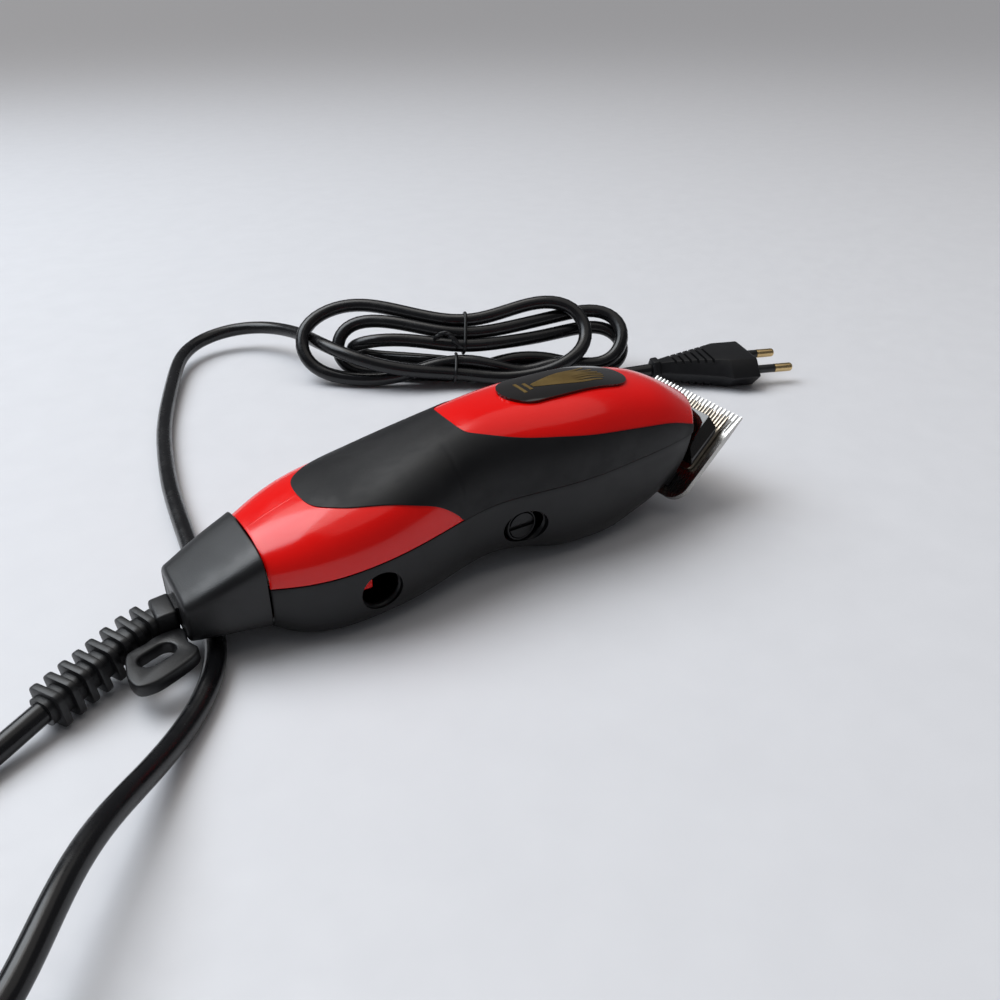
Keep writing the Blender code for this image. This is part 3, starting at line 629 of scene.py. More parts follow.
@dataclass(frozen=True)
class Finish:
    """A moulded finish: a drifting tone, a roughness that wanders, fine grain and faint wear."""

    name: str
    colour: Colour
    drift: Colour
    roughness: tuple[float, float]
    grain: float = 6000.0
    grain_depth: float = 0.00001
    wave_depth: float = 0.0
    coat: float = 0.0
    coat_roughness: float = 0.05
    specular: float = 0.5

    def material(self) -> bpy.types.Material:
        """The finish's material, made the first time it is asked for."""
        known = bpy.data.materials.get(self.name)
        if known:
            return known
        graph = Graph(self.name)
        self.paint(graph)
        return graph.material

    def paint(self, graph: Graph) -> None:
        """Sets colour, roughness and relief."""
        tone = graph.noise(55, 3)
        smudge = graph.noise(140, 4, 0.6).between(0.42, 0.62)
        low, high = self.roughness
        height = graph.noise(self.grain, 2)
        if self.wave_depth:
            height = height + graph.noise(260, 1) * (self.wave_depth / self.grain_depth)
        graph.dress(Base_Color=graph.blend(tone.between(0.3, 0.7), self.colour, self.drift),
                    Roughness=smudge * (high - low) + low,
                    Normal=graph.relief(height, self.grain_depth),
                    Coat_Weight=self.coat, Coat_Roughness=self.coat_roughness)
        graph.dress(Specular_IOR_Level=self.specular)


@dataclass(frozen=True)
class ShellRed(Finish):
    """The glossy red shell, with the faint line that its mould leaves along the rear crest."""

    def paint(self, graph: Graph) -> None:
        """Adds the mould line's relief to the moulded finish."""
        tone = graph.noise(40, 2)
        low, high = self.roughness
        smudge = graph.noise(120, 4, 0.6).between(0.4, 0.65)
        line = (1 - abs(graph.axis("Y")).between(0.00008, 0.00025)) * (1 - graph.axis("X").between(-0.007,
                                                                                                   -0.004))
        height = graph.noise(self.grain,
                             1) + graph.noise(300, 1) * (self.wave_depth / self.grain_depth) + line * 12.0
        graph.dress(Base_Color=graph.blend(tone.between(0.3, 0.7), self.colour, self.drift),
                    Roughness=smudge * (high - low) + low,
                    Normal=graph.relief(height, self.grain_depth),
                    Coat_Weight=self.coat, Coat_Roughness=self.coat_roughness)
        graph.dress(Specular_IOR_Level=self.specular)


@dataclass(frozen=True)
class SparkTexture(Finish):
    """A spark-eroded matt black: close pits of two sizes over the moulded finish."""

    def paint(self, graph: Graph) -> None:
        """Sets colour, roughness and pitted relief."""
        tone = graph.noise(70, 3)
        pits = graph.pits(2400).between(0.0, 0.7) + graph.noise(self.grain, 2) * 0.7
        low, high = self.roughness
        rub = graph.noise(110, 4, 0.6).between(0.4, 0.65)
        graph.dress(Base_Color=graph.blend(tone.between(0.3, 0.7), self.colour, self.drift),
                    Roughness=rub * (high - low) + low,
                    Normal=graph.relief(pits, self.grain_depth))
        graph.dress(Specular_IOR_Level=self.specular)


@dataclass(frozen=True)
class Metal:
    """A metal with fine lines along one direction and small changes of tone."""

    name: str
    colour: Colour
    drift: Colour
    roughness: tuple[float, float]
    lines: Point = (900.0, 60.0, 900.0)
    turn: Point = (0.0, 0.0, 0.0)
    depth: float = 0.000004

    def material(self) -> bpy.types.Material:
        """The metal's material, made the first time it is asked for."""
        known = bpy.data.materials.get(self.name)
        if known:
            return known
        graph = Graph(self.name)
        scratch = graph.noise(6, 3, 0.6, graph.mapped(self.lines, self.turn))
        stain = graph.noise(160, 4, 0.6).between(0.35, 0.7)
        low, high = self.roughness
        graph.dress(Base_Color=graph.blend(stain, self.colour, self.drift), Metallic=1.0,
                    Roughness=scratch * (high - low) + low, Normal=graph.relief(scratch, self.depth))
        return graph.material


@dataclass(frozen=True)
class Banded:
    """Turns of wire or stacked sheets: fine even bands along one axis."""

    name: str
    colour: Colour
    gap_colour: Colour
    bands: float
    axis: str
    roughness: float
    metallic: float

    def material(self) -> bpy.types.Material:
        """The banded material, made the first time it is asked for."""
        known = bpy.data.materials.get(self.name)
        if known:
            return known
        graph = Graph(self.name)
        wave = graph.node("ShaderNodeTexWave", {"wave_type": "BANDS", "bands_direction": self.axis},
                          {"Vector": graph.place, "Scale": self.bands, "Distortion": 0.4}, "Fac")
        graph.dress(Base_Color=graph.blend(wave.between(0.1, 0.5), self.gap_colour, self.colour),
                    Roughness=graph.noise(300, 3) * 0.2 + self.roughness,
                    Metallic=self.metallic, Normal=graph.relief(wave, 0.00012))
        return graph.material


class Stock:
    """Every finish on the clipper."""

    RED = ShellRed("shell_red", (0.94, 0.004, 0.002), (0.88, 0.003, 0.002), (0.14, 0.22), 5000, 0.000003,
                   0.000008, 0.2, 0.06, 0.35)
    GRIP = Finish("grip_rubber", (0.006, 0.006, 0.007), (0.009, 0.009, 0.010), (0.42, 0.54), 5200, 0.00002,
                  specular=0.3)
    SATIN = Finish("shell_black", (0.006, 0.006, 0.007), (0.009, 0.009, 0.010), (0.28, 0.38), 5200, 0.000008,
                   0.00001, specular=0.35)
    TEXTURED = SparkTexture("spark_black", (0.007, 0.007, 0.008), (0.011, 0.011, 0.012), (0.34, 0.46), 6000,
                            0.000014, specular=0.45)
    GLOSS = Finish("gloss_black", (0.006, 0.005, 0.004), (0.009, 0.006, 0.005), (0.07, 0.13), 3000, 0.000002,
                   0.000004, 0.6, 0.03)
    SHEATH = Finish("cord_sheath", (0.004, 0.004, 0.005), (0.007, 0.007, 0.008), (0.2, 0.3), 3500, 0.000008,
                    0.00003, 0.1, 0.1, 0.4)
    PLUG_BLACK = Finish("plug_vinyl", (0.006, 0.006, 0.007), (0.010, 0.010, 0.011), (0.34, 0.46), 4200,
                        0.000015,
                        0.00002, specular=0.3)
    SLEEVE = Finish("pin_sleeve", (0.012, 0.012, 0.012), (0.02, 0.02, 0.02), (0.3, 0.4), 4000, 0.000012)
    NYLON = Finish("natural_nylon", (0.72, 0.69, 0.60), (0.66, 0.62, 0.52), (0.4, 0.52), 3500, 0.00002)
    BROWN = Finish("brown_wire", (0.16, 0.06, 0.025), (0.12, 0.045, 0.02), (0.35, 0.45), 3500, 0.00001)
    BLUE = Finish("blue_wire", (0.03, 0.12, 0.42), (0.025, 0.1, 0.36), (0.35, 0.45), 3500, 0.00001)
    STEEL = Metal("blade_steel", (0.55, 0.54, 0.52), (0.46, 0.45, 0.43), (0.18, 0.38), (60, 900, 60),
                  (0, 45, 0))
    EDGE_STEEL = Metal("cutter_steel", (0.46, 0.40, 0.32), (0.36, 0.31, 0.25), (0.2, 0.42), (60, 900, 60),
                       (0, 45, 0))
    SCREW = Metal("screw_zinc", (0.6, 0.6, 0.62), (0.48, 0.48, 0.5), (0.22, 0.4), (300, 300, 300))
    BRASS = Metal("pin_brass", (0.74, 0.55, 0.28), (0.62, 0.44, 0.21), (0.16, 0.34), (60, 500, 500),
                  (0, 0, 20))
    GOLD = Metal("badge_gold", (0.50, 0.34, 0.12), (0.34, 0.22, 0.07), (0.3, 0.5), (400, 400, 400))
    SHEETS = Banded("stacked_sheets", (0.3, 0.3, 0.32), (0.09, 0.08, 0.08), 320, "Z", 0.35, 1.0)
    COPPER = Banded("copper_turns", (0.62, 0.25, 0.1), (0.2, 0.06, 0.02), 420, "X", 0.25, 1.0)


# ---------------------------------------------------------------- housing

class Side(Enum):
    """Which half of the housing a point is on."""

    UPPER = 1
    LOWER = -1


class BodyForm:
    """The housing's outside, as curves along its length."""

    CREST = SmoothCurve([(0, 32), (10, 36), (20, 38.9), (32, 41.2), (45, 44.5), (60, 48.5), (75, 51.4),
                         (90, 52.3),
                         (104, 52.2), (118, 51.6), (130, 49.4), (140, 46), (150, 37.8)])
    PARTING = SmoothCurve([(0, 21.2), (14, 22), (30, 23.5), (46, 25.2), (62, 27), (90, 28.8), (120, 29.3),
                           (140, 30.4), (150, 31.1)])
    BELLY = SmoothCurve([(0, 5), (6, 1.2), (12, -0.6), (30, -0.6), (45, 0.6), (62, 3.6), (74, 4.8), (86, 3),
                         (96, 0.2), (104, -0.6), (118, -0.6), (130, 2.2), (142, 4.8), (150, 7)])
    HALF_WIDTH = SmoothCurve([(0, 17), (8, 20.8), (20, 24.2), (40, 24.6), (55, 22.4), (70, 20.6), (85, 22.4),
                              (100, 24.2), (112, 24), (125, 23), (140, 21.9), (150, 20.3)])
    SQUARENESS = {Side.UPPER: 2.65, Side.LOWER: 3.9}
    LENGTH = 150.0
    NOSE_START = 115.0
    NOSE_BULGE = 9.5
    FRONT_LEAN = 0.0175
    LEAN_HEIGHT = 34.0

    @classmethod
    def point(cls, x: np.ndarray, angle: np.ndarray, side: Side) -> np.ndarray:
        """Points on the outside.

        Args:
            x: the places along the body.
            angle: degrees round the half, from the left parting line over the crest or belly to the right.
            side: which half.

        Returns:
            The points, one row each.
        """
        x, angle = np.broadcast_arrays(np.asarray(x, float), np.radians(angle))
        half, split = cls.HALF_WIDTH(x), cls.PARTING(x) + GAP / 2 * side.value
        end = cls.CREST(x) if side is Side.UPPER else cls.BELLY(x)
        power = 2 / cls.SQUARENESS[side]
        y = half * np.sign(np.cos(angle)) * np.abs(np.cos(angle)) ** power
        z = split + (end - split) * np.abs(np.sin(angle)) ** power
        if side is Side.LOWER:
            z = np.maximum(z, 0)
        ramp = np.clip((x - cls.NOSE_START) / (cls.LENGTH - cls.NOSE_START), 0, 1.1) ** 2
        bulge = cls.NOSE_BULGE * ramp * (1 - np.minimum(np.abs(y) / half, 1) ** 1.8) * (side is Side.UPPER)
        lean = cls.FRONT_LEAN * ramp * np.maximum(cls.LEAN_HEIGHT - z, 0) ** 2
        return np.stack([x + bulge - lean, y, z], axis=-1)

    @classmethod
    def crest_height(cls, x: np.ndarray, y: np.ndarray) -> np.ndarray:
        """The upper half's height at each place in plan."""
        split = cls.PARTING(x)
        side = np.minimum(np.abs(y) / cls.HALF_WIDTH(x), 0.99) ** (cls.SQUARENESS[Side.UPPER] / 2)
        return split + (cls.CREST(x) - split) * np.sqrt(1 - side**2) ** (2 / cls.SQUARENESS[Side.UPPER])


@dataclass
class Housing:
    """Red upper shell, black lower shell, soft grip and badge."""

    rows: int = 176
    columns: int = 112
    grip_lower: Sequence[tuple[float, float]] = (
        (0, 90), (1.14, 76), (2.24, 66.5), (3.08, 58.7), (4.18, 48), (4.74, 39.6), (5.3, 29), (5.85, 17.5),
        (6.25, 6.3), (6.48, 0))
    grip_upper: Sequence[tuple[float, float]] = (
        (0, 90), (0.84, 73), (1.92, 62), (3.2, 50), (4.3, 41), (5.36, 35.3), (6.53, 28.6), (7.73, 23.2),
        (8.53, 20.5), (9.2, 18))
    grip_rear: float = 16.5
    grip_split: float = 65.3
    grip_proud: float = 0.3
    grip_thick: float = 1.3
    screws: Sequence[tuple[float, float]] = ((38.0, 0.0), (119.5, 13.0), (119.5, -13.0))
    badge_radius: float = 9.2
    badge_ends: tuple[float, float] = (94.2, 123.8)
    badge_lift: float = 1.0

    def build(self) -> None:
        """Builds and dresses all of the housing's outer pieces."""
        fit(self.upper_shell(), Stock.RED, "housing", ["upper_housing"])
        fit(self.lower_shell(), Stock.SATIN, "housing", ["lower_housing"])
        fit(self.grip(), Stock.GRIP, "housing", ["grip_overmould"], smooth=50)
        fit(self.badge(), Stock.GLOSS, "housing", ["badge_plate"])
        fit(self.motif(), Stock.GOLD, "housing", [])

    def half_sheet(self, name: str, side: Side) -> bpy.types.Object:
        """One half of the housing as a thin wall.

        Args:
            name: the object's name.
            side: which half.

        Returns:
            The walled shell.
        """
        x = np.linspace(0.15, BodyForm.LENGTH, self.rows + 1)[:, None]
        share = np.linspace(0, math.pi, self.columns + 1)
        turn = 90 * (0.75 * (1 - np.cos(share)) + 0.5 * share / math.pi)[None, :]
        rings = BodyForm.point(x, turn, side)
        shell = Bench.loft(name, rings, around=False, flip=side is Side.UPPER)
        Bench.modify(shell, "SOLIDIFY", thickness=WALL * MM, offset=-1, use_quality_normals=True)
        Bench.soften(shell, 0.3, 2, 60)
        return shell

    def upper_shell(self) -> bpy.types.Object:
        """The red half, with the tab that hangs behind the rear window."""
        shell = self.half_sheet("upper_shell", Side.UPPER)
        tab = Bench.cube("skirt_tab", (23.4, -21.4, 14), (28.4, -20.2, 27))
        Bench.soften(tab, 0.3, 2)
        return Bench.merge("upper_shell", [shell, tab])

    def lower_shell(self) -> bpy.types.Object:
        """The black half with its windows and screw wells."""
        shell = self.half_sheet("lower_shell", Side.LOWER)
        rear = self.window("rear_window", (30, -18, 14), (30, -32, 14), 5.6, 1.0, -22.8)
        front = self.window("front_window", (81, -14, 16.4), (81, -32, 16.4), 5.4, 1.28, -20.6)
        switch = Bench.cube("switch_window", (41.5, 19, 9.6), (52.5, 30, 14.4))
        lever = Bench.cylinder("lever_window", 3.3, (130, 17, 17), (130, 30, 17), 32)
        Bench.cut(shell, rear, front, switch, lever)
        wells = []
        for x, y in self.screws:
            wells.append(Bench.cylinder("well", 4.3, (x, y, -2), (x, y, 0.5), 40, 3.5))
            wells.append(Bench.cylinder("well", 3.5, (x, y, -1), (x, y, 3.6), 40))
        for well in wells:
            Bench.cut(shell, well)
        sleeves = []
        for x, y in self.screws:
            floor = max(float(BodyForm.BELLY(x)), 0)
            sleeve = Bench.cylinder("sleeve", 4.6, (x, y, floor + 2.3), (x, y, 16.2), 32)
            Bench.cut(sleeve, Bench.cylinder("bore", 3.5, (x, y, -1), (x, y, floor + 5), 32))
            sleeves.append(sleeve)
        return Bench.merge("lower_shell", [shell, *sleeves])

    @staticmethod
    def window(name: str, start: Point, end: Point, radius: float, stretch: float,
               face: float) -> bpy.types.Object:
        """A round or oval window's cutter, flared where it meets the outside.

        Args:
            name: the cutter's name.
            start: its inner end.
            end: its outer end.
            radius: its upright radius.
            stretch: its length along the body over its height.
            face: where the outside lies, across the body.

        Returns:
            The cutter.
        """
        turns = np.radians(np.arange(0, 360, 6))
        rings = []
        for y, grow in ((start[1], 0), (face + 1.1, 0), (face + 0.3, 0.25), (face - 0.2, 0.8), (end[1], 0.8)):
            ring = np.stack([start[0] + (radius + grow) * stretch * np.cos(turns), np.full_like(turns, y),
                             start[2] + (radius + grow) * np.sin(turns)], axis=-1)
            rings.append(ring)
        return Bench.loft(name, rings)

    def grip(self) -> bpy.types.Object:
        """The soft grip: half a sheet between its two edges, mirrored and given a wall."""
        lower, upper = SmoothCurve(self.grip_lower), SmoothCurve(self.grip_upper)
        steps = np.linspace(0, 1, 81)
        rear = self.grip_rear + (self.grip_split - self.grip_rear) * steps**2
        front = self.grip_split + (BodyForm.LENGTH - self.grip_split) * steps[1:] ** 2
        rings = []
        for x in np.concatenate([rear, front]):
            reach = math.sqrt(x - self.grip_rear)
            low = max(float(lower(reach)), 0.0) if reach < self.grip_lower[-1][0] else 0.0
            high = float(upper(math.sqrt(x - self.grip_split))) if x > self.grip_split else 90.0
            share = np.linspace(0, 1, 37)
            if low == 0.0:
                share = share**1.5
            ring = BodyForm.point(x, low + (high - low) * share, Side.UPPER)
            if high == 90.0:
                ring[-1, 1] = 0.0
            rings.append(ring)
        skin = Bench.loft("soft_grip", rings, around=False, flip=True)
        Bench.modify(skin, "MIRROR", use_axis=(False, True, False), merge_threshold=0.00002)
        inwards = self.grip_thick - self.grip_proud
        Bench.modify(skin, "SOLIDIFY", thickness=self.grip_thick * MM,
                     offset=(self.grip_proud - inwards) / self.grip_thick, use_quality_normals=True)
        Bench.soften(skin, 0.22, 2, 55)
        return skin

    def badge_rings(self, radius: float, lift: float) -> np.ndarray:
        """A sheet over the badge's outline, at a height over the crest.

        Args:
            radius: the outline's end radius.
            lift: the height over the crest.

        Returns:
            The sheet's points by row and column.
        """
        turn = np.linspace(0, math.pi, 57)
        low, high = self.badge_ends
        middle = np.linspace(low, high, 25)[1:-1]
        half = radius * np.sin(turn)
        count = len(turn) // 2 + 1
        x = np.concatenate([low - radius * np.cos(turn[:count]), middle,
                            high - radius * np.cos(turn[count - 1:])])
        half = np.concatenate([half[:count], np.full(len(middle), radius), half[count - 1:]])
        share = np.sin(np.linspace(-math.pi / 2, math.pi / 2, 41))
        px = np.repeat(x[:, None], len(share), axis=1)
        py = half[:, None] * share[None, :]
        return np.stack([px, py, BodyForm.crest_height(px, py) + lift], axis=-1)

    def badge(self) -> bpy.types.Object:
        """The raised glossy badge: a plate over the crest, given a wall and rounded edges."""
        plate = Bench.loft("badge", self.badge_rings(self.badge_radius, self.badge_lift), around=False)
        Bench.modify(plate, "SOLIDIFY", thickness=2.2 * MM, offset=-1, use_quality_normals=True)
        Bench.soften(plate, 0.45, 3, 50)
        return plate

    def motif(self) -> bpy.types.Object:
        """Gold strands that fan out from a clasp, printed on the badge."""
        strands = []
        for index in range(7):
            spread = (index - 3) / 3
            steps = np.linspace(0, 1, 40)
            x = 97.0 + 27.5 * steps - 3.0 * spread**2 * steps
            y = (0.5 + 5.3 * steps**0.8) * spread + 0.7 * np.sin(steps * 8 + index * 0.8) * steps
            width = 0.4 + 0.38 * np.sin(math.pi * np.minimum(steps * 1.1, 1))
            rings = []
            for side in (-1, 0, 1):
                py = y + side * width
                rings.append(np.stack([x, py, BodyForm.crest_height(x, py) + self.badge_lift + 0.05],
                                      axis=-1))
            strand = Bench.loft(f"strand_{index}", rings, around=False)
            strands.append(strand)
        for index, (x, half) in enumerate(((92.6, 3.6), (95.4, 2.6))):
            steps = np.linspace(-half, half, 16)
            rings = []
            for side in (-0.55, 0, 0.55):
                px = np.full_like(steps, x + side)
                rings.append(np.stack([px, steps, BodyForm.crest_height(px, steps) + self.badge_lift + 0.05],
                                      axis=-1))
            strands.append(Bench.loft(f"clasp_{index}", rings, around=False))
        whole = Bench.merge("badge_motif", strands)
        Bench.modify(whole, "SOLIDIFY", thickness=0.08 * MM, offset=0)
        return whole


# ---------------------------------------------------------------- end cap and strain relief

@dataclass
class EndCap:
    """Tapered end cap with a square hole for the strain relief's neck."""

    sections: Sequence[tuple[float, float, float, float, float]] = (
        (0.15, 17.0, 32.0, 5.6, 21.0), (3, 16.6, 30.7, 6.2, 20.3), (9, 15.7, 28.0, 6.9, 18.8),
        (15.5, 14.4, 24.9, 7.4, 16.9), (21.3, 12.9, 22.2, 7.9, 15.2), (22.5, 12.6, 21.7, 8.0, 15.0))
    squareness: tuple[float, float] = (4.4, 5.0)

    def ring(self, depth: float, inset: float) -> np.ndarray:
        """One section, at a depth behind the joint and with an inset all round.

        Args:
            depth: the distance behind the joint.
            inset: how far the section lies inside the outside.

        Returns:
            The ring's points.
        """
        half, top, bottom, split = (float(SmoothCurve([(row[0], row[i]) for row in self.sections])(depth))
                                    for i in range(1, 5))
        turn = 2 * math.pi * (np.arange(96) + 0.5) / 96
        up = np.sin(turn) > 0
        power = np.where(up, 2 / self.squareness[0], 2 / self.squareness[1])
        reach = np.where(up, top - inset - split, split - bottom - inset)
        y = (half - inset) * np.sign(np.cos(turn)) * np.abs(np.cos(turn)) ** power
        z = split + reach * np.sign(np.sin(turn)) * np.abs(np.sin(turn)) ** power
        return np.stack([np.full_like(y, -depth), y, z], axis=-1)

    def build(self) -> None:
        """Lofts the cap through its outside, its rounded end, its hole and its inside."""
        rings = [self.ring(0.15, 0.3), self.ring(0.3, 0.05)]
        rings += [self.ring(depth, 0) for depth in np.linspace(0.5, 21.2, 26)]
        for turn in np.linspace(10, 90, 6):
            angle = math.radians(turn)
            rings.append(self.ring(21.2 + 1.15 * math.sin(angle), 1.15 * (1 - math.cos(angle))))
        rings += [self.ring(22.35, 1.7), self.ring(22.2, 2.0), self.ring(22.2, 2.6)]
        hole = self.ring(22.2, 2.6)
        hole[:, 1] = hole[:, 1] * 0.43 - 0.4
        hole[:, 2] = 13.2 + (hole[:, 2] - 14.4) * 0.58
        deep = hole.copy()
        deep[:, 0] = -20.1
        inner = [self.ring(depth, WALL) for depth in (20.1, 12, 4, 0.15)]
        cap = Bench.loft("end_cap_shell", rings + [hole, deep] + inner, wrap=True)
        Bench.soften(cap, 0.25, 2, 60)
        fit(cap, Stock.TEXTURED, "housing", ["end_cap"])


@dataclass
class StrainRelief:
    """Collar, neck and ribbed sleeve in one rubber moulding, with the hanging tab beside it."""

    axis: Sequence[Point] = ((-30.7, 0.3, 9.4), (-34.8, -1.2, 9.0), (-39, -2.9, 8.3), (-43.1, -5.2, 7.8),
                             (-47, -7.2, 7.2), (-50.9, -9.2, 6.8), (-54.7, -11.5, 6.4), (-58.5, -13.8, 6.1))
    tab: Sequence[tuple[float, float]] = (
        (-22.7, -6.2), (-29.8, -6.2), (-33.6, -8.0), (-38.0, -9.6), (-39.9, -16.4), (-40.1, -20.4),
                                          (-38.6, -24.4),
        (-35, -25.1), (-32.4, -24.5), (-24, -20.6), (-21.8, -18.8), (-21.2, -16.4), (-22.6, -13))

    def build(self) -> None:
        """Builds the sleeve and the tab."""
        rib = Bench.cube("rib", (-1.05, -5.7, -5.65), (1.05, 5.7, 5.65))
        Bench.pick(rib, lambda centre, along: abs(along.x) > 0.9, edges=True)
        Bench.edit(rib, lambda: bpy.ops.mesh.bevel(offset=2.2 * MM, segments=4, affect="EDGES"))
        Bench.soften(rib, 0.4, 2, 60)
        places = [Vector(point) for point in self.axis]
        pieces, rings = [], []
        for index, centre in enumerate(places):
            ahead = (places[min(index + 1, 7)] - places[max(index - 1, 0)]).normalized()
            turn = ahead.to_track_quat("X", "Z").to_matrix().to_4x4()
            size = Matrix.Diagonal((1, 1 - 0.007 * index, 1 - 0.0035 * index, 1))
            pieces.append(Bench.repeat(rib, f"rib_{index}", Matrix.Translation(centre) @ turn @ size))
        bpy.data.objects.remove(rib, do_unlink=True)
        spine = run_through(np.array([(-24, 0.1, 11), (-28.4, 0, 10.6), *self.axis, (-61.0, -15.3, 6.0)]),
                            1.5)
        for index, point in enumerate(spine):
            ahead = Vector(spine[min(index + 1, len(spine) - 1)] - spine[max(index - 1, 0)]).normalized()
            turn = ahead.to_track_quat("X", "Z").to_matrix()
            ring = []
            for angle in np.radians(np.arange(0, 360, 15)):
                y, z = (3.8 * np.sign(f(angle)) * abs(f(angle)) ** 0.6 for f in (math.cos, math.sin))
                ring.append(Vector(point) + turn @ Vector((0, y, z)))
            rings.append(ring)
        pieces.append(Bench.loft("core", rings))
        collar = Bench.cube("collar", (-28.6, -5.4, 6.2), (-22.7, 5.3, 16.0))
        Bench.pick(collar, lambda centre, normal: normal.x < -0.9)
        Bench.edit(collar, lambda: bpy.ops.transform.resize(value=(1, 0.96, 0.9)))
        Bench.soften(collar, 1.0, 3, 40)
        neck = Bench.cube("neck", (-23, -4.2, 10.3), (-19.7, 3.4, 16.1))
        flange = Bench.cube("flange", (-19.7, -6.1, 10.6), (-17.9, 5.3, 17.2))
        sleeve = Bench.merge("strain_relief_sleeve", [*pieces, collar, neck, flange])
        fit(sleeve, Stock.TEXTURED, "housing", ["strain_relief"])

        outline = run_through(np.array(self.tab), 1.2, closed=True)
        tab = Bench.plate("hanging_loop", [tuple(point) for point in outline], 6.9, 10.9)
        Bench.cut(tab, Bench.plate("slot", stadium((-31.4, -14.2), 2.3, 3.0, 22, 14), 5, 13))
        Bench.soften(tab, 0.7, 3, 45)
        fit(tab, Stock.TEXTURED, "housing", ["hanging_tab"])


# ---------------------------------------------------------------- cord and plug

@dataclass
class MainsCord:
    """The mains cord: a lead that runs under the cap, a tied hank of three turns and a tail to the plug."""

    radius: float = 3.08
    length: float = 1.65
    lead: Sequence[Point] = (
        (-59, -14.1, 6.1), (-61.6, -15.8, 6), (-74, -22.9, 4.2), (-88, -31.5, 3.3), (-101, -41.5, 3.3),
        (-112, -54, 3.3), (-118.5, -69, 3.4), (-119.5, -85, 4.6), (-113, -99, 7), (-100, -107, 10.2),
        (-85.5, -105, 13.2), (-74, -94, 15), (-66, -81, 15), (-57.5, -69, 13.6), (-50, -60, 10.6),
        (-43.6, -51.6, 7.4), (-38.2, -45, 5), (-33, -39.2, 3.7), (-27.9, -33.2, 3.3), (-22.6, -25.8, 3.3),
        (-18, -17, 3.3), (-15.2, -8.5, 3.3), (-13.6, 0, 3.3), (-11.8, 14, 3.3), (-9.6, 28, 3.3),
                             (-7.4, 45, 3.3),
        (-5.4, 64, 3.3), (-2.6, 87, 3.3), (1.9, 111.7, 3.3), (8.5, 139.5, 3.3), (17.4, 167, 3.6),
                             (26, 189.5, 4.6),
        (33.7, 206.5, 5.8), (43.7, 219.3, 7.2), (57, 224.6, 8.8), (70.3, 221.2, 10.4), (79.8, 211, 12),
        (84.9, 197, 13.7), (88.4, 181, 15.2))
    hank: Sequence[Point] = (
        (-43, 11, 7.5), (-24, 3.8, 8.2), (-6, 2.2, 6), (11, 2.4, 3), (31, 0.9, 3), (49, 2.2, 3),
                             (63.3, 7.9, 3),
        (71, 19, 3), (69.8, 30.2, 3), (54.5, 38.4, 3), (31, 32.7, 3), (12, 28.1, 3), (-14, 34, 1),
        (-40.5, 38.3, 0), (-58.1, 29.5, 0), (-60.9, 19.3, 0), (-57.9, 7.7, 0), (-39, 1.2, 0),
                             (-15.5, 1.3, 1.5),
        (11, 8.9, 2), (31, 6.6, -2), (60, 5, -3.5), (80, 8, -3.5), (88.5, 16, -3), (90.7, 24.3, -3),
        (78.7, 36.7, -3), (49.8, 30.6, 0), (31, 25.5, 1), (12, 22.2, 3), (-12, 27, 2), (-35.4, 29.5, 0),
        (-51.7, 22.9, -1), (-54, 13, -4), (-40, 7.4, -6), (-15, 6, -5), (11, 4.2, -3.4), (31, 10, -5),
        (45, 12, -4), (64, 9.4, -5.5), (84, 7.5, -5), (96, 13, -4), (97, 23.3, -4), (82, 30, -5),
                             (49.7, 23.4, -3),
        (31, 18.6, 1), (12, 16.2, 3), (-8, 18.5, 3), (-25.2, 18.9, 3), (-41.5, 16.6, 2), (-55, 17.5, -4),
        (-54, 20, -14), (-38, 20, -17), (-12, 16, -12), (11, 11.5, -7), (36, 8, -6.5), (62, 5, -3.5),
                             (82, 1, 2.2))
    tail: Sequence[Point] = ((206, 77.6, 6.3), (214.6, 74.5, 7))
    tie_wire: float = 0.75
    least_bend: float = 13.0

    def guide(self) -> np.ndarray:
        """The cord's whole route in the part's frame, in millimetres."""
        lead = BODY.points(np.array(self.lead)) / MM
        hank = HANK.points(np.array(self.hank)) / MM
        tail = BODY.points(np.array(self.tail)) / MM
        return run_through(np.vstack([lead, hank, tail]), 3.4)

    def settle(self) -> np.ndarray:
        """Lets the cord find its lie: it stiffens, keeps off itself and rests on the table.

        Returns:
            The centre line in the part's frame, in millimetres.
        """
        path = self.guide()
        clear = 2 * self.radius + 0.14
        for spell in range(14):
            path = run_through(path, 3.4) if spell < 12 else path
            rest = path.copy()
            index = np.arange(len(path))
            apart = np.abs(index[:, None] - index[None, :]) > 8
            for _ in range(24):
                bend = (path[:-2] + path[2:]) / 2 - path[1:-1]
                ease = bend.copy()
                ease[1:-1] -= (bend[:-2] + bend[2:]) / 2
                gap = np.linalg.norm(path[2:] - path[:-2], axis=1) / 2
                tight = np.clip(2 * np.linalg.norm(bend, axis=1) / gap**2 * self.least_bend - 1, 0, 1)[:,
                                                                                                       None]
                path[1:-1] += (0.22 * ease + 0.35 * tight * bend) * (1 if spell < 13 else 0.4)
                path += 0.02 * (rest - path)
                away = path[:, None] - path[None, :]
                distance = np.linalg.norm(away, axis=2)
                near = (distance < clear) & apart
                push = np.where(near, (clear - distance) / np.maximum(distance, 0.2), 0)[:, :, None] * away
                path += 0.45 * push.sum(axis=1) / np.maximum(near.sum(axis=1), 1)[:, None] ** 0.5
                path[:, 2] = np.maximum(path[:, 2], self.radius + 0.1)
                path[:3], path[-3:] = rest[:3], rest[-3:]
        return path

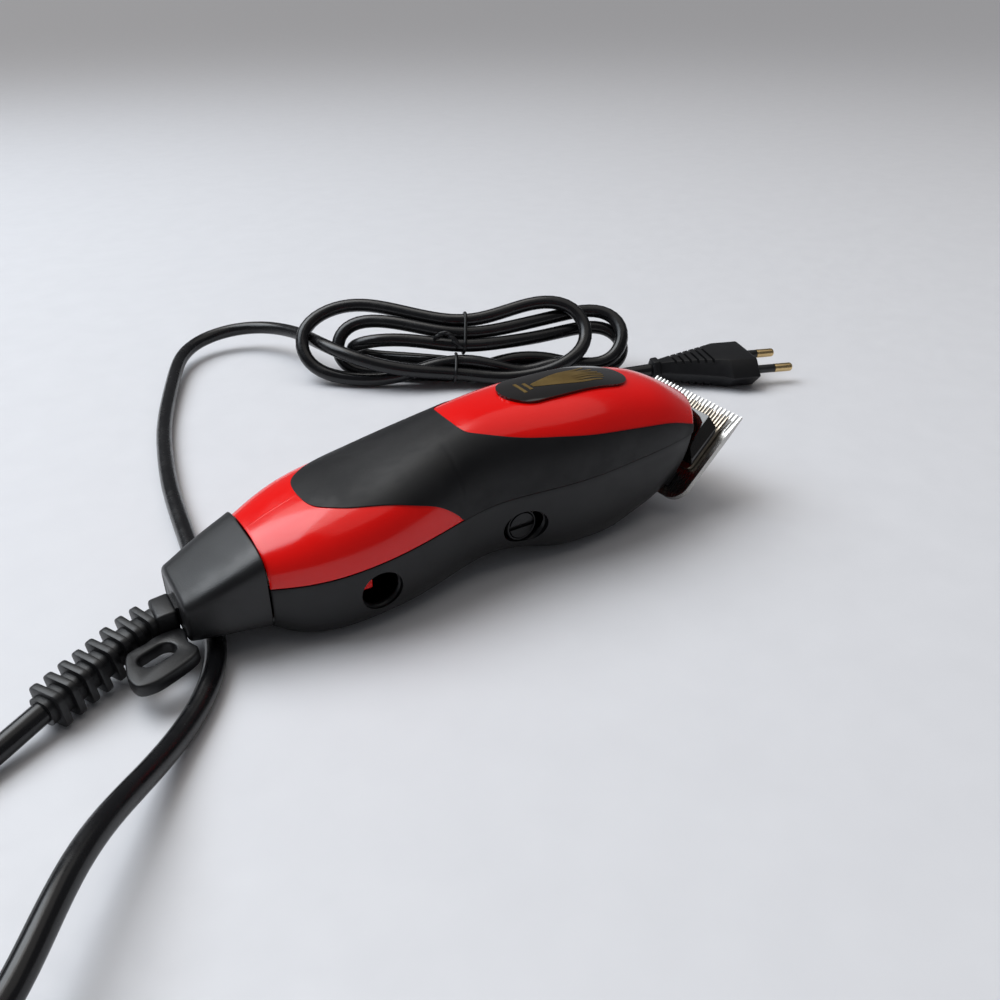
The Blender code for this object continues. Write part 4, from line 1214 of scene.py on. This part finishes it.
    def build(self, path: np.ndarray) -> bpy.types.Object:
        """Builds the cord along its settled line.

        Args:
            path: the centre line.

        Returns:
            The cord's curve.
        """
        cord = Bench.wire("mains_cord", [path], self.radius, Frame((ORIGIN_X, 0, 0)), 6)
        LOG.info("cord centre line is %.3f m long", np.linalg.norm(np.diff(path, axis=0), axis=1).sum() * MM)
        return fit(cord, Stock.SHEATH, "housing", ["cord_lead", "cord_hank", "cord_tail"])

    def loop(self, strands: np.ndarray, place: float) -> np.ndarray:
        """A wire's line drawn tight round a bundle.

        Args:
            strands: the strands' centres across the hank, one row each.
            place: where along the hank the loop lies.

        Returns:
            The closed line in the hank's frame.
        """
        line = []
        for angle in np.radians(np.arange(0, 361, 9)):
            out = np.array((math.cos(angle), math.sin(angle)))
            edge = strands[np.argmax(strands @ out)] + out * (self.radius + 0.6 * self.tie_wire)
            line.append((place + 0.8 * math.sin(angle), *edge))
        return np.array(line)

    def tie(self, path: np.ndarray) -> bpy.types.Object:
        """The wire tie: one loop round each bundle of strands, with its twisted ends.

        Args:
            path: the cord's centre line.

        Returns:
            The tie's curve.
        """
        matrix = np.array(HANK.matrix())
        local = (path - matrix[:3, 3] / MM) @ matrix[:3, :3]
        crossing = local[(np.abs(local[:, 0] - 11) < 1.8) & (np.abs(local[:, 2]) < 25)][:, 1:]
        high = crossing[:, 0] > 13.5
        upper, lower = self.loop(crossing[high], 14), self.loop(crossing[~high], 10)
        steps = np.linspace(0, 1, 40)
        twists = []
        for phase in (0, math.pi):
            bow = 3.5 * np.sin(math.pi * steps)
            twist = np.stack([12 - 11 * steps + 0.85 * np.cos(steps * 20 + phase), 13.0 + 4 * steps + bow,
                              8.2 + 0.8 * bow + 0.85 * np.sin(steps * 20 + phase)], axis=1)
            twists.append(twist)
        tie = Bench.wire("wire_tie", [upper, lower, *twists], self.tie_wire, HANK, 3)
        return fit(tie, Stock.SATIN, "housing", ["twist_tie"])


@dataclass
class MainsPlug:
    """Flat two-pin plug with a ribbed neck and sleeved pins."""

    sections: Sequence[tuple[float, float, float, float]] = (
        (0, 16.9, 6.2, 10.6), (-0.8, 17.6, 6.7, 11), (-13.5, 17.6, 6.7, 11), (-16.5, 14.6, 6.7, 9.6),
        (-26, 10.6, 6.2, 6.6), (-38, 6.4, 5.2, 3.6), (-43.6, 4.6, 4.4, 2.4), (-44.2, 5.8, 5.4, 3.0),
        (-47.2, 5.4, 5.0, 2.8))
    pin_offset: float = 9.3
    pin_radius: float = 2.0

    def build(self) -> list[bpy.types.Object]:
        """Builds the plug's body and pins.

        Returns:
            The pieces on the cord's end.
        """
        rings = []
        for x, half, high, flat in self.sections:
            rings.append([(x, -half, 0), (x, -flat, -high), (x, flat, -high), (x, half, 0), (x, flat, high),
                          (x, -flat, high)])
        body = Bench.loft("plug_moulding", rings)
        Bench.soften(body, 0.7, 3, 18)
        ribs = []
        for index in range(6):
            x = -20.5 - 3.3 * index
            half = 12.9 - 1.22 * index
            ribs.append(Bench.cube("groove", (x - 0.55, -half - 3, 4.9 - 0.2 * index),
                                   (x + 0.55, half + 3, 9)))
            ribs.append(Bench.cube("groove", (x - 0.55, -half - 3, -9),
                                   (x + 0.55, half + 3, -4.9 + 0.2 * index)))
        Bench.cut(body, *ribs)
        pieces = [fit(body, Stock.PLUG_BLACK, "housing", ["plug_body"], PLUG)]
        for name, y in (("left", self.pin_offset), ("right", -self.pin_offset)):
            sleeve = Bench.cylinder(f"pin_sleeve_{name}", self.pin_radius - 0.08, (-8.6, y, 0), (10, y, 0),
                                    40)
            Bench.soften(sleeve, 0.15, 2)
            pieces.append(fit(sleeve, Stock.SLEEVE, "housing", [], PLUG))
            tip = Bench.cylinder(f"pin_{name}", self.pin_radius, (10.02, y, 0), (19, y, 0), 40)
            Bench.pick(tip, lambda centre, normal: normal.x > 0.9)
            Bench.edit(tip, lambda: bpy.ops.mesh.bevel(offset=1.3 * MM, segments=5, affect="EDGES"))
            pieces.append(fit(tip, Stock.BRASS, "housing", [f"plug_pin_{name}"], PLUG))
        return pieces


# ---------------------------------------------------------------- blades, controls and screws

@dataclass
class BladeSet:
    """Fixed blade, moving blade and the glossy guide block."""

    half_width: float = 23.0
    length: float = 38.0
    thick: float = 2.0
    teeth: int = 24
    tooth: float = 8.0
    fine_teeth: int = 26

    @staticmethod
    def comb(half: float, heel: float, root: float, tip: float, count: int, fill: float,
             corner: float) -> Outline:
        """A toothed blade's outline with rounded heel corners, tips and roots.

        Args:
            half: half the blade's width.
            heel: where the blade starts.
            root: where the teeth start.
            tip: where they end.
            count: how many teeth.
            fill: a tooth's width at the root over the pitch.
            corner: the heel corners' radius.

        Returns:
            The outline's points in order.
        """
        points = arc((heel + corner, -half + corner), corner, 180, 270, 8)
        pitch = 2 * half / count
        for index in range(count):
            middle = -half + pitch * (index + 0.5)
            base = pitch * fill / 2
            points += [(root, middle - base), (tip - 0.5, middle - base * 0.5),
                       (tip - 0.12, middle - base * 0.3),
                       (tip, middle), (tip - 0.12, middle + base * 0.3), (tip - 0.5, middle + base * 0.5),
                       (root, middle + base)]
            if index < count - 1:
                points.append((root - 0.25, middle + pitch / 2))
        return points + arc((heel + corner, half - corner), corner, 90, 180, 8)

    def taper(self, obj: bpy.types.Object, start: float, end: float, base: float, drop: float) -> None:
        """Thins a blade's teeth towards their tips.

        Args:
            obj: the blade.
            start: where the thinning starts.
            end: where the tips are.
            base: the height of the blade's under side.
            drop: how much thinner the tips are.
        """
        for vertex in obj.data.vertices:
            share = min(max((vertex.co.x / MM - start) / (end - start), 0), 1)
            if vertex.co.z / MM > base + 0.5:
                vertex.co.z -= drop * share * MM

    def build(self) -> None:
        """Builds the blades and the guide."""
        root = self.length - self.tooth
        fixed = Bench.plate("fixed_comb",
                            self.comb(self.half_width, 0, root, self.length, self.teeth, 0.72, 6.5),
                            0, self.thick)
        self.taper(fixed, root - 0.3, self.length, 0, 1.2)
        holes = [Bench.cylinder("hole", 2.0, (6, side * 12, -1), (6, side * 12, 4), 32) for side in (-1, 1)]
        Bench.cut(fixed, *holes)
        Bench.soften(fixed, 0.12, 1, 50)
        fit(fixed, Stock.STEEL, "housing", ["fixed_blade"], BLADES, 25)
        cutter = Bench.plate("moving_cutter", self.comb(19.8, 12, 29, 35.6, self.fine_teeth, 0.66, 2), 2.3,
                             3.6)
        self.taper(cutter, 28.7, 35.6, 2.3, 0.7)
        Bench.soften(cutter, 0.1, 1, 50)
        fit(cutter, Stock.EDGE_STEEL, "moving_blade", ["moving_blade"], BLADES, 25)
        rings = []
        for z, back, front, half in ((3.9, 14, 28, 20), (6.0, 15.5, 29.6, 20), (8.5, 19, 31.5, 16.5)):
            rings.append([(back, -half, z), (front, -half, z), (front, half, z), (back, half, z)])
        guide = Bench.loft("blade_guide_block", rings)
        Bench.cut(guide, Bench.cube("slot", (16, -6.2, 3), (25.2, 6.2, 12)))
        Bench.soften(guide, 0.5, 3, 30)
        fit(guide, Stock.GLOSS, "guide", ["blade_guide"], BLADES)


@dataclass
class Fasteners:
    """Slotted screws: one pattern, turned to each place."""

    housing: Sequence[tuple[float, float]] = ((38.0, 0.0), (119.5, 13.0), (119.5, -13.0))

    @staticmethod
    def screw(name: str, head: float, height: float, shank: float, length: float) -> bpy.types.Object:
        """A slotted screw that stands on its shank's end, its head's top at z = 0.

        Args:
            name: the screw's name.
            head: the head's radius.
            height: the head's height.
            shank: the shank's radius.
            length: the whole length.

        Returns:
            The screw.
        """
        screw = Bench.cylinder(name, head, (0, 0, -height), (0, 0, 0), 48)
        Bench.cut(screw, Bench.cube("slot", (-head - 1, -0.45, -1.0), (head + 1, 0.45, 1)))
        Bench.soften(screw, 0.28, 2, 50)
        thread = Bench.cylinder("thread", shank, (0, 0, -length), (0, 0, -height + 0.2), 20, shank)
        return Bench.merge(name, [screw, thread])

    def build(self) -> None:
        """Builds the housing's and the blade's screws."""
        for index, (x, y) in enumerate(self.housing):
            head = max(float(BodyForm.BELLY(x)), 0) + 5 - GAP
            screw = self.screw(f"case_screw_{index + 1}", 3.1, 2.2, 1.35, 22)
            place = Matrix.Translation(Vector((x, y, head - 2.2)) * MM)
            screw.matrix_world = place @ Matrix.Rotation(math.pi, 4, "X")
            Bench.fixed(screw, screw.name)
            fit(screw, Stock.SCREW, "housing", [f"housing_screw_{index + 1}"])
        for index, side in enumerate((-1, 1)):
            screw = self.screw(f"comb_screw_{index + 1}", 3.4, 1.4, 1.6, 8.2)
            screw.matrix_world = (Matrix.Translation(Vector((6, side * 12, -1.7)) * MM)
                                  @ Matrix.Rotation(math.pi, 4, "X"))
            Bench.fixed(screw, screw.name)
            fit(screw, Stock.SCREW, "housing", [f"blade_screw_{index + 1}"], BLADES)


@dataclass
class Controls:
    """Power screw on the right, slide switch and taper lever on the left."""

    screw_x: float = 81.0
    screw_z: float = 16.4

    def build(self) -> None:
        """Builds the controls."""
        x, z = self.screw_x, self.screw_z
        screw = Bench.cylinder("power_dial", 4.4, (x, -19.6, z), (x, -16.6, z), 64)
        Bench.cut(screw, Bench.cube("slot", (x - 6, -21, z - 0.7), (x + 6, -18.6, z + 0.7)))
        Bench.soften(screw, 0.3, 3, 50)
        fit(screw, Stock.SATIN, "power_screw", ["power_screw"])
        sleeve = Bench.cylinder("dial_sleeve", 5.3, (x, -19.4, z), (x, -12.2, z), 64)
        Bench.cut(sleeve, Bench.cylinder("bore", 4.7, (x, -21, z), (x, -10, z), 64))
        Bench.soften(sleeve, 0.15, 2, 50)
        fit(sleeve, Stock.SATIN, "housing", ["screw_sleeve"])

        button = Bench.cube("switch_slider", (40.5, 24.8, 8.2), (49.5, 26.4, 15.8))
        Bench.soften(button, 0.6, 3)
        stem = Bench.cube("stem", (42.5, 18.9, 10.4), (46.5, 25.6, 13.6))
        ridge = Bench.cube("ridge", (-0.5, 26.0, 8.9), (0.5, 27.0, 15.1))
        Bench.soften(ridge, 0.35, 2)
        ridges = [Bench.repeat(ridge, "ridge", Matrix.Translation((42.0 + 1.5 * i, 0, 0))) for i in range(5)]
        bpy.data.objects.remove(ridge, do_unlink=True)
        fit(Bench.merge("switch_slider", [button, stem, *ridges]), Stock.SATIN, "switch_button",
            ["switch_button"])

        hub = Bench.cylinder("taper_handle", 6.0, (130, 24.7, 17), (130, 27.9, 17), 64)
        arm = Bench.cube("arm", (101, 24.8, 16.5), (130, 26.9, 22))
        Bench.weld(hub, arm)
        Bench.weld(hub, Bench.cube("thumb", (100, 25.2, 16.9), (105, 30.2, 21.6)))
        Bench.soften(hub, 0.55, 3, 50)
        fit(hub, Stock.SATIN, "taper_lever", ["taper_lever"])


class Internals:
    """The pieces inside that keep their solid shapes."""

    WORKS: Mapping[str, tuple[str, ...]] = {
        "SHEATH": ("inner_cord",), "NYLON": ("cord_clamp", "coil_bobbin", "drive_arm", "switch_body",
                                             "blade_driver"),
        "SHEETS": ("stator_core", "armature"), "COPPER": ("coil_winding",),
        "SCREW": ("motor_screw_1", "motor_screw_2", "pivot_pin", "pivot_bracket", "taper_cam",
                  "return_spring",
                  "tension_spring"),
        "SATIN": ("blade_seat",), "BROWN": ("live_lead",), "BLUE": ("neutral_lead",)}

    def dress(self, nodes: Mapping[str, bpy.types.Object]) -> None:
        """Gives each piece its finish.

        Args:
            nodes: the solid model's objects by name.
        """
        for stock, names in self.WORKS.items():
            for name in names:
                slots = nodes[name].material_slots
                for slot in slots:
                    slot.material = getattr(Stock, stock).material()
                LOG.info("%s keeps its shape in %s", name, stock.lower())


# ---------------------------------------------------------------- studio

@dataclass
class Studio:
    """Pale table, soft daylight and the camera."""

    camera_place: Point = (-0.0737, -0.2188, 0.167)
    camera_turn: Point = (59.5, 0, -32.2)
    lens: float = 32.33

    def light(self, name: str, place: Point, aim: Point, size: float, power: float, colour: Colour) -> None:
        """One soft square light.

        Args:
            name: the light's name.
            place: where it stands, in metres.
            aim: what it points at.
            size: the length of its side.
            power: its power in watts.
            colour: its colour.
        """
        data = bpy.data.lights.new(name, "AREA")
        data.size, data.energy, data.color = size, power, colour
        lamp = bpy.data.objects.new(name, data)
        lamp.location = place
        lamp.rotation_euler = (Vector(aim) - Vector(place)).to_track_quat("-Z", "Y").to_euler()
        bpy.context.scene.collection.objects.link(lamp)

    def build(self) -> None:
        """Sets up the stage, the lights and the camera."""
        scene = bpy.context.scene
        data = bpy.data.cameras.new("camera")
        data.sensor_width, data.lens = 36, self.lens
        data.clip_start = 0.01
        camera = bpy.data.objects.new("camera", data)
        camera.location = self.camera_place
        camera.rotation_euler = [math.radians(value) for value in self.camera_turn]
        scene.collection.objects.link(camera)
        scene.camera = camera
        scene.view_settings.view_transform = "Standard"

        world = bpy.data.worlds.new("daylight")
        world.use_nodes = True
        world.node_tree.nodes["Background"].inputs["Color"].default_value = (0.93, 0.95, 1.0, 1)
        world.node_tree.nodes["Background"].inputs["Strength"].default_value = 0.13
        scene.world = world

        bpy.ops.object.select_all(action="DESELECT")
        bpy.ops.mesh.primitive_plane_add(size=60, location=(0, 0, -0.0002))
        floor = Bench.fixed(bpy.context.object, "table_top")
        table = Finish("table_white", (0.80, 0.80, 0.83), (0.78, 0.78, 0.81), (0.5, 0.6), 900, 0.00001)
        floor.data.materials.append(table.material())

        self.light("window", (-0.55, 0.6, 1.0), (0.05, 0.05, 0), 1.0, 11, (0.84, 0.92, 1.0))
        self.light("ceiling", (0.35, 0.1, 1.4), (0.05, 0.05, 0), 1.6, 4, (1.0, 0.96, 0.9))
        sky = bpy.data.lights.new("sky", "SUN")
        sky.energy, sky.angle, sky.color = 1.15, math.radians(50), (1.0, 0.98, 0.95)
        lamp = bpy.data.objects.new("sky", sky)
        lamp.rotation_euler = (math.radians(-28), math.radians(-14), 0)
        scene.collection.objects.link(lamp)


def main() -> None:
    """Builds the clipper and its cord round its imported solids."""
    logging.basicConfig(level=logging.INFO, format="%(name)s: %(message)s")
    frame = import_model()
    Studio().build()
    cord = MainsCord()
    path = cord.settle()
    flex = cord.build(path)
    tie = cord.tie(path)
    pieces = MainsPlug().build()
    tuple(BODY.points(np.array(cord.lead[1])))
    Housing().build()
    EndCap().build()
    StrainRelief().build()
    BladeSet().build()
    Controls().build()
    Fasteners().build()
    Internals().dress(frame["nodes"])


if __name__ == "__main__":
    main()
